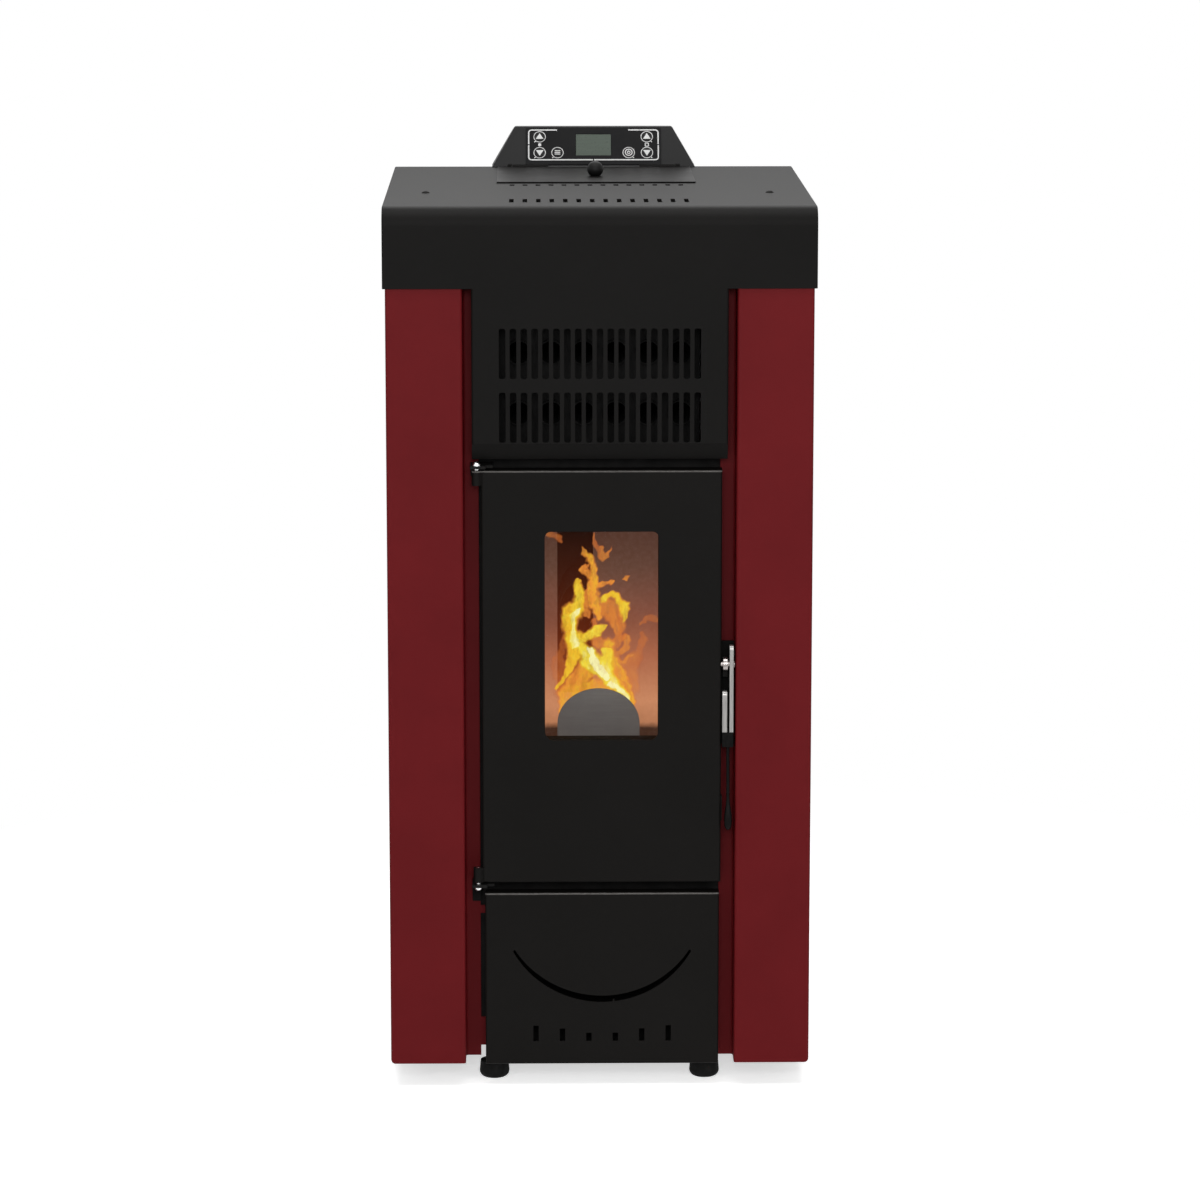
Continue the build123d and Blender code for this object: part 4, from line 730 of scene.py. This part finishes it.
def curl(x, z, seed):
    """Soft seeded waviness of a few millimetres, one value per point."""
    draw = np.random.default_rng(seed)
    total = np.zeros_like(x)
    for wave, reach in ((34.0, 1.7), (17.0, 1.1), (8.5, 0.65), (4.6, 0.3)):
        for _ in range(3):
            turn, phase = draw.uniform(0, math.tau, 2)
            along = x * math.cos(turn) + z * math.sin(turn)
            total += reach * 0.6 * np.sin(along * math.tau / wave + phase)
    return total


TONGUE_MARGIN = 0.8                         # added to every half width, in millimetres
TONGUE_CORE = 2.6                           # a tongue is solid from 1 / 2.6 of its depth inwards
RIM_WARMTH = 0.55                           # warmth at a tongue's rim, as a share of its core's
WARMTH_REACH = 0.2                          # how far past its rim a tongue's warmth is kept


def flame_field(tongues, x, z):
    """How deep inside the tongues each point lies, with its warmth and its cover."""
    depth, warmth, cover = np.full_like(x, -1.0), np.zeros_like(x), np.zeros_like(x)
    for tongue_warmth, tongue_cover, points in tongues:
        own = np.full_like(x, -1.0)
        for (x0, z0, w0), (x1, z1, w1) in zip(points, points[1:]):
            dx, dz = x1 - x0, z1 - z0
            share = np.clip(((x - x0) * dx + (z - z0) * dz) / (dx * dx + dz * dz), 0, 1)
            away = np.hypot(x - x0 - share * dx, z - z0 - share * dz)
            own = np.maximum(own, 1 - away / (w0 + share * (w1 - w0) + TONGUE_MARGIN))
        soft = np.clip(own * TONGUE_CORE, 0, 1)
        depth = np.maximum(depth, own)
        shade = RIM_WARMTH + (1 - RIM_WARMTH) * soft
        warmth = np.maximum(warmth, tongue_warmth * shade * (own > -WARMTH_REACH))
        cover = np.maximum(cover, tongue_cover * soft)
    return depth, warmth, cover


def cut_sheet(depth, places, values):
    """Triangles of a grid kept where depth is above zero, cut cleanly along its edge."""
    rows, columns = depth.shape
    points, numbers, faces = [], {}, []

    def corner(index):
        if index not in numbers:
            numbers[index] = len(points)
            points.append((places(*index), [value[index] for value in values]))
        return numbers[index]

    def crossing(a, b):
        key = (a, b) if a < b else (b, a)
        if key not in numbers:
            share = depth[key[0]] / (depth[key[0]] - depth[key[1]])
            numbers[key] = len(points)
            low, high = places(*key[0]), places(*key[1])
            mixed = [value[key[0]] * (1 - share) + value[key[1]] * share for value in values]
            points.append((low.lerp(high, share), mixed))
        return numbers[key]

    for row in range(rows - 1):
        for column in range(columns - 1):
            a, b = (row, column), (row, column + 1)
            c, d = (row + 1, column + 1), (row + 1, column)
            for triangle in ((a, b, c), (a, c, d)):
                loop = []
                for first, second in zip(triangle, triangle[1:] + triangle[:1]):
                    if depth[first] > 0:
                        loop.append(corner(first))
                    if (depth[first] > 0) != (depth[second] > 0):
                        loop.append(crossing(first, second))
                if len(loop) > 2:
                    faces.append(loop)
    return points, faces


FLAMES = [                                  # name, tongues, depth and bulge in millimetres, seed
    ("flame_front", FRONT_FLAME, 150, 6.0, 11),
    ("flame_middle", MIDDLE_FLAME, 172, 7.0, 31),
    ("flame_rear", REAR_FLAME, 198, 8.0, 53),
]
# A sheet of flame is a grid of this span and step, in millimetres on the cover's front plane.
SHEET_X, SHEET_Z, SHEET_STEP = (-66.0, 70.0), (398.0, 646.0), 1.3


def add_flame(name, tongues, y, bulge, seed):
    """One curved sheet of flame at depth y, riding on the pot."""
    x, z = np.meshgrid(np.arange(*SHEET_X, SHEET_STEP), np.arange(*SHEET_Z, SHEET_STEP))
    depth, warmth, cover = flame_field(tongues, x + curl(x, z, seed), z + curl(x, z, seed + 1))
    sway = bulge * np.sin((x + 20.0) / 19.0 + (z - 400.0) / 37.0) + curl(x, z, seed + 2)

    def place(row, column):
        return behind_window(x[row, column], z[row, column], y + sway[row, column])

    points, faces = cut_sheet(depth, place, (warmth, cover))
    mesh = bpy.data.meshes.new(name)
    mesh.from_pydata([point for point, _ in points], [], faces)
    for index, label in enumerate(("warmth", "cover")):
        layer = mesh.attributes.new(label, "FLOAT", "POINT")
        layer.data.foreach_set("value", [values[index] for _, values in points])
    mesh.shade_smooth()
    piece = add_piece(name, mesh, FLAME, "fire_pot")
    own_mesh(piece)


PELLET_COUNT = 170
PELLET_RADII = (0.003, 0.0028)              # of a pellet's two ends
PELLET_LENGTHS = (0.010, 0.019)
PELLET_DENTS, PELLET_LEAN = 0.00025, 0.28   # spread of its surface, and of its lean in radians
HEAP_MIDDLE = at(0, 160, 0)
HEAP_HALF = (0.026, 0.033)                  # how far from its middle pellets lie, in x and in y
HEAP_ROUND = (0.034, 0.044)                 # where its crown would come down to nothing
HEAP_FOOT, HEAP_RISE = 0.012, 0.052         # above the pot's underside, and from there to the crown


def add_pellets():
    """A heap of burning wood pellets in the pot, each a short uneven rod."""
    draw = np.random.default_rng(7)
    pot_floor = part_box("burn_pot")[0].z
    form = bmesh.new()
    for _ in range(PELLET_COUNT):
        across, along = (draw.uniform(-half, half) for half in HEAP_HALF)
        crown = 1 - (across / HEAP_ROUND[0]) ** 2 - (along / HEAP_ROUND[1]) ** 2
        rise = HEAP_RISE * max(crown, 0.1) * draw.uniform(0.15, 1.0) ** 0.5
        height = pot_floor + HEAP_FOOT + rise
        length = draw.uniform(*PELLET_LENGTHS)
        turn = Matrix.Rotation(draw.uniform(0, math.tau), 4, "Z")
        lean = Matrix.Rotation(math.pi / 2 + draw.normal(0, PELLET_LEAN), 4, "Y")
        middle = (HEAP_MIDDLE.x + across, HEAP_MIDDLE.y + along, height)
        spot = Matrix.Translation(middle) @ (turn @ lean)
        rod = bmesh.ops.create_cone(form, cap_ends=True, segments=9, radius1=PELLET_RADII[0],
                                    radius2=PELLET_RADII[1], depth=length, matrix=spot)
        for vertex in rod["verts"]:
            vertex.co += Vector(draw.normal(0, PELLET_DENTS, 3))
    add_form("burning_pellets", form, PELLETS, "fire_pot")


# ---------------------------------------------------------------- keypad
SLOPE_ORIGIN = at(0, 508, 1000)             # the keypad's slope at the top plate's height
SLOPE_TILT = math.radians(30)               # how far it leans back from upright
PANEL_FACE, KEY_FACE = 2.0, 2.8             # how far the panel and the key caps stand off the slope
INK_SUNK, INK_PROUD = 0.05, 0.07            # how far the ink reaches into a face and out of it
KEY_PLACES = {                              # on the slope: across, up
    "key_left_up": (-65.0, 39.5),
    "key_left_down": (-65.0, 18.5),
    "key_set": (-43.5, 18.5),
    "key_power": (42.5, 18.5),
    "key_right_up": (64.5, 39.5),
    "key_right_down": (64.5, 18.5),
}


class Legend:
    """Printed shapes on the pod's slope, gathered into one mesh a hair proud of the face."""

    def __init__(self, face):
        self.form = bmesh.new()
        self.low, self.high = face - INK_SUNK, face + INK_PROUD

    def point(self, u, v, w):
        up = Vector((0, math.sin(SLOPE_TILT), math.cos(SLOPE_TILT)))
        out = Vector((0, -math.cos(SLOPE_TILT), math.sin(SLOPE_TILT)))
        return SLOPE_ORIGIN + (Vector((u, 0, 0)) + up * v + out * w) * MM

    def plate(self, outline):
        """A flat plate with the given outline, thickened down into the face."""
        top = [self.form.verts.new(self.point(u, v, self.high)) for u, v in outline]
        foot = [self.form.verts.new(self.point(u, v, self.low)) for u, v in outline]
        self.form.faces.new(top)
        join_loops(self.form, foot, top)

    def line(self, path, width):
        """A stroke of even width along a path, made of joined plates."""
        half = width / 2
        left, right = [], []
        for index, (u, v) in enumerate(path):
            before = path[max(index - 1, 0)]
            after = path[min(index + 1, len(path) - 1)]
            du, dv = after[0] - before[0], after[1] - before[1]
            size = math.hypot(du, dv)
            left.append((u - dv / size * half, v + du / size * half))
            right.append((u + dv / size * half, v - du / size * half))
        for index in range(len(path) - 1):
            self.plate([left[index], right[index], right[index + 1], left[index + 1]])

    def arc(self, u, v, radius, start, end, width, steps=40):
        """A stroke along a circle, from start to end in degrees."""
        path = []
        for index in range(steps + 1):
            angle = math.radians(start + (end - start) * index / steps)
            path.append((u + radius * math.cos(angle), v + radius * math.sin(angle)))
        self.line(path, width)

    def finish(self, name, body):
        bmesh.ops.recalc_face_normals(self.form, faces=self.form.faces)
        add_form(name, self.form, INK, body)


def add_panel_legend():
    """The frame line, the rings round the keys and the small signs between the arrows."""
    legend = Legend(PANEL_FACE)
    half, low, high, corner, width = 78.2, 9.0, 48.6, 3.6, 1.5   # of the frame line
    gap_left, gap_right, nick = -44.0, 42.0, 0.7
    ring, ring_width, thin = 6.9, 0.95, 1.0
    middle = 29.0                           # between the upper and the lower arrow keys
    inner = half - corner
    for side, gap in ((-1, gap_left), (1, gap_right)):
        legend.line([(gap, high), (side * inner, high)], width)
        legend.line([(side * half, high - corner), (side * half, middle + nick)], width)
        legend.line([(side * half, middle - nick), (side * half, low + corner)], width)
        legend.line([(side * inner, low), (side * nick, low)], width)
        top_start, low_start = (0, -90) if side > 0 else (90, 180)
        legend.arc(side * inner, high - corner, corner, top_start, top_start + 90, width, 8)
        legend.arc(side * inner, low + corner, corner, low_start, low_start + 90, width, 8)
    for u, v in KEY_PLACES.values():
        legend.arc(u, v, ring, 0, 360, ring_width)
        side = -1 if u < 0 else 1
        legend.line([(u + side * 4.4, v - 5.3), (u + side * 6.3, v - 7.1)], thin)
    u = KEY_PLACES["key_left_up"][0]
    legend.line([(u, middle - 2.4), (u, middle + 2.4)], thin)
    foot, top = middle - 1.6, middle + 1.6
    legend.plate([(u - 1.9, foot), (u + 1.9, foot), (u + 1.9, top), (u - 1.9, top)])
    u, petal = KEY_PLACES["key_right_up"][0], 1.5
    for degrees in (45, 135, 225, 315):
        angle = math.radians(degrees)
        legend.arc(u + petal * math.cos(angle), middle + petal * math.sin(angle), 1.0,
                   degrees - 120, degrees + 90, 1.1, 10)
    legend.finish("panel_legend", "cabinet")


def add_key_legends():
    """The signs on the key caps: arrows, a list and a power sign."""
    half, base, tip = 4.6, 3.0, 4.5         # of an arrow, from the key's middle
    stroke = 1.1
    for name, (u, v) in KEY_PLACES.items():
        legend = Legend(KEY_FACE)
        if name.endswith("up"):
            legend.plate([(u - half, v - base), (u + half, v - base), (u, v + tip)])
        elif name.endswith("down"):
            legend.plate([(u - half, v + base), (u, v - tip), (u + half, v + base)])
        elif name == "key_set":
            for row in (-2.2, 0.0, 2.2):
                legend.line([(u - 3.4, v + row), (u + 3.4, v + row)], stroke)
        else:
            legend.arc(u, v, 4.1, 0, 360, stroke)
            legend.arc(u, v, 1.7, 120, 420, 0.9, 20)
            legend.line([(u, v + 0.4), (u, v + 2.6)], 0.9)
        legend.finish(name.replace("key_", "legend_"), name + "_cap")


# ---------------------------------------------------------------- trim
def add_ash_sill():
    """Folded strip under the ash door's opening that closes the gap down to the floor."""
    half, bend_radius, sheet = 104.0, 1.3, 1.4
    front, back, foot, top = 25.6, 39.9, 30.0, 43.9
    fold = [(front, foot), (back, foot), (back, top),
            (back - sheet, top), (back - sheet, foot + sheet), (front, foot + sheet)]
    form = bmesh.new()
    left, right = ([form.verts.new(at(x, y, z)) for y, z in fold] for x in (-half, half))
    form.faces.new(left)
    form.faces.new(right)
    join_loops(form, left, right)
    bmesh.ops.recalc_face_normals(form, faces=form.faces)
    bend = [edge for edge in form.edges if set(edge.verts) == {left[1], right[1]}]
    bmesh.ops.bevel(form, geom=bend, offset=bend_radius * MM, segments=4, affect="EDGES")
    add_form("ash_door_sill", form, FINISHES["heat_black"], "cabinet")


# ---------------------------------------------------------------- screws
def add_rear_screws():
    """Pan-head screws with hexagon sockets round the rear panel."""
    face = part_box("rear_panel")[1].y
    places = [(x, z) for x in (-0.226, 0.226) for z in (0.15, 0.30, 0.45, 0.62, 0.80, 0.93)]
    places += [(x, 0.945) for x in (-0.055, 0.055, -0.165, 0.165)]
    head = [(4.2, 0.0), (4.2, 0.7), (3.8, 1.5), (3.0, 2.1), (2.1, 2.4)]   # radius, height
    socket_half, socket_top, socket_floor = 1.35, 2.4, 0.9   # half across its flats, heights
    steps, sixth = 24, math.tau / 6
    turns = [index * math.tau / steps for index in range(steps)]
    loops = [[(radius, turn, height) for turn in turns] for radius, height in head]
    hexagon = [socket_half / math.cos(turn % sixth - sixth / 2) for turn in turns]
    for height in (socket_top, socket_floor):
        loops.append([(radius, turn, height) for radius, turn in zip(hexagon, turns)])
    form = bmesh.new()
    for x, z in places:
        rings = []
        for loop in loops:
            ring = []
            for radius, turn, height in loop:
                across, up = radius * math.cos(turn), radius * math.sin(turn)
                ring.append(form.verts.new((x + across * MM, face + height * MM, z + up * MM)))
            rings.append(ring)
        for lower, upper in zip(rings, rings[1:]):
            join_loops(form, lower, upper)
        form.faces.new(rings[-1])
    bmesh.ops.recalc_face_normals(form, faces=form.faces)
    add_form("rear_screws", form, SCREW, "cabinet", smooth=True)


# ---------------------------------------------------------------- stage, light, camera
FILL = 0.34                                 # grey that lights the stove from all sides
FLOOR_HALF = 12.0
FLOOR_GLOW = 0.60                           # added to the floor's own shading for the camera
SHADOW_FULL, SHADOW_END = 0.55, 1.3         # where the floor's shading is whole, where it is gone


def seen_directly(nodes, links):
    """1 for camera, glossy and transmission rays, 0 for the rays that light the object."""
    path = nodes.new("ShaderNodeLightPath")
    seen = path.outputs["Is Camera Ray"]
    for ray in ("Is Glossy Ray", "Is Transmission Ray"):
        either = nodes.new("ShaderNodeMath")
        either.operation = "MAXIMUM"
        links.new(seen, either.inputs[0])
        links.new(path.outputs[ray], either.inputs[1])
        seen = either.outputs[0]
    return seen


def make_world():
    """Even grey light from all round, seen as plain white."""
    world = bpy.data.worlds.new("studio")
    world.use_nodes = True
    nodes, links = world.node_tree.nodes, world.node_tree.links
    fill = nodes["Background"]
    fill.inputs["Color"].default_value = (FILL, FILL, FILL, 1)
    white = nodes.new("ShaderNodeBackground")
    white.inputs["Color"].default_value = (1, 1, 1, 1)
    mix = nodes.new("ShaderNodeMixShader")
    links.new(seen_directly(nodes, links), mix.inputs[0])
    links.new(fill.outputs[0], mix.inputs[1])
    links.new(white.outputs[0], mix.inputs[2])
    links.new(mix.outputs[0], nodes["World Output"].inputs["Surface"])
    bpy.context.scene.world = world


def make_floor():
    """Pale floor that keeps the shadow near the stove and is plain white further out."""
    mesh = bpy.data.meshes.new("floor")
    corners = [(x * FLOOR_HALF, y * FLOOR_HALF, 0) for x, y in ((-1, -1), (1, -1), (1, 1), (-1, 1))]
    mesh.from_pydata(corners, [], [(0, 1, 2, 3)])
    floor = bpy.data.objects.new("floor", mesh)
    bpy.context.scene.collection.objects.link(floor)
    f = Finish("pale_floor", 0.95, specular=0.0)
    f.colour(f.mottled(3.0, 3.0, 0.3, 0.7, (0.80, 0.80, 0.80), (0.82, 0.82, 0.82)))
    seen = seen_directly(f.nodes, f.links)
    glow = f.node("ShaderNodeEmission", Strength=f.math("MULTIPLY", seen, FLOOR_GLOW))
    near = f.node("ShaderNodeAddShader")
    f.links.new(f.shader.outputs[0], near.inputs[0])
    f.links.new(glow.outputs[0], near.inputs[1])
    away = f.node("ShaderNodeVectorMath", {"operation": "LENGTH"}, Vector=f.place)
    fade = f.math("MULTIPLY", f.span(away.outputs["Value"], SHADOW_FULL, SHADOW_END), seen)
    white = f.node("ShaderNodeEmission", Strength=1.0)
    f.surface(fade, near.outputs[0], white.outputs[0])
    mesh.materials.append(f.material)


LAMP_AIM = Vector((0, 0, 0.55))
LAMPS = [                                   # name, place, width and height, power in watts
    ("overhead_softbox", (0, -0.5, 3.0), (2.4, 1.6), 50),
    ("left_softbox", (-1.8, -3.2, 1.5), (1.2, 2.0), 16),
    ("right_softbox", (1.8, -3.2, 1.5), (1.2, 2.0), 16),
    ("front_softbox", (0, -4.4, 1.9), (1.6, 1.0), 62),
    ("rear_softbox", (0, 2.6, 3.2), (2.4, 1.2), 40),
]


def look_at(piece, place, aim):
    """Put a lamp or the camera at a place, turned to its aim."""
    piece.location = place
    piece.rotation_euler = (aim - Vector(place)).to_track_quat("-Z", "Y").to_euler()
    bpy.context.scene.collection.objects.link(piece)


def make_lights():
    for name, place, size, power in LAMPS:
        data = bpy.data.lights.new(name, "AREA")
        data.shape = "RECTANGLE"
        data.size, data.size_y = size
        data.energy = power
        look_at(bpy.data.objects.new(name, data), place, LAMP_AIM)


def make_camera():
    data = bpy.data.cameras.new("camera")
    data.sensor_width = SENSOR_WIDTH
    data.lens = SENSOR_WIDTH * (AIM - EYE).length / VIEW_WIDTH
    camera = bpy.data.objects.new("camera", data)
    look_at(camera, EYE, AIM)
    bpy.context.scene.camera = camera


dress_nodes()
for flame in FLAMES:
    add_flame(*flame)
add_pellets()
add_panel_legend()
add_key_legends()
add_ash_sill()
add_rear_screws()
make_world()
make_floor()
make_lights()
make_camera()
bpy.context.scene.view_settings.view_transform = "Standard"
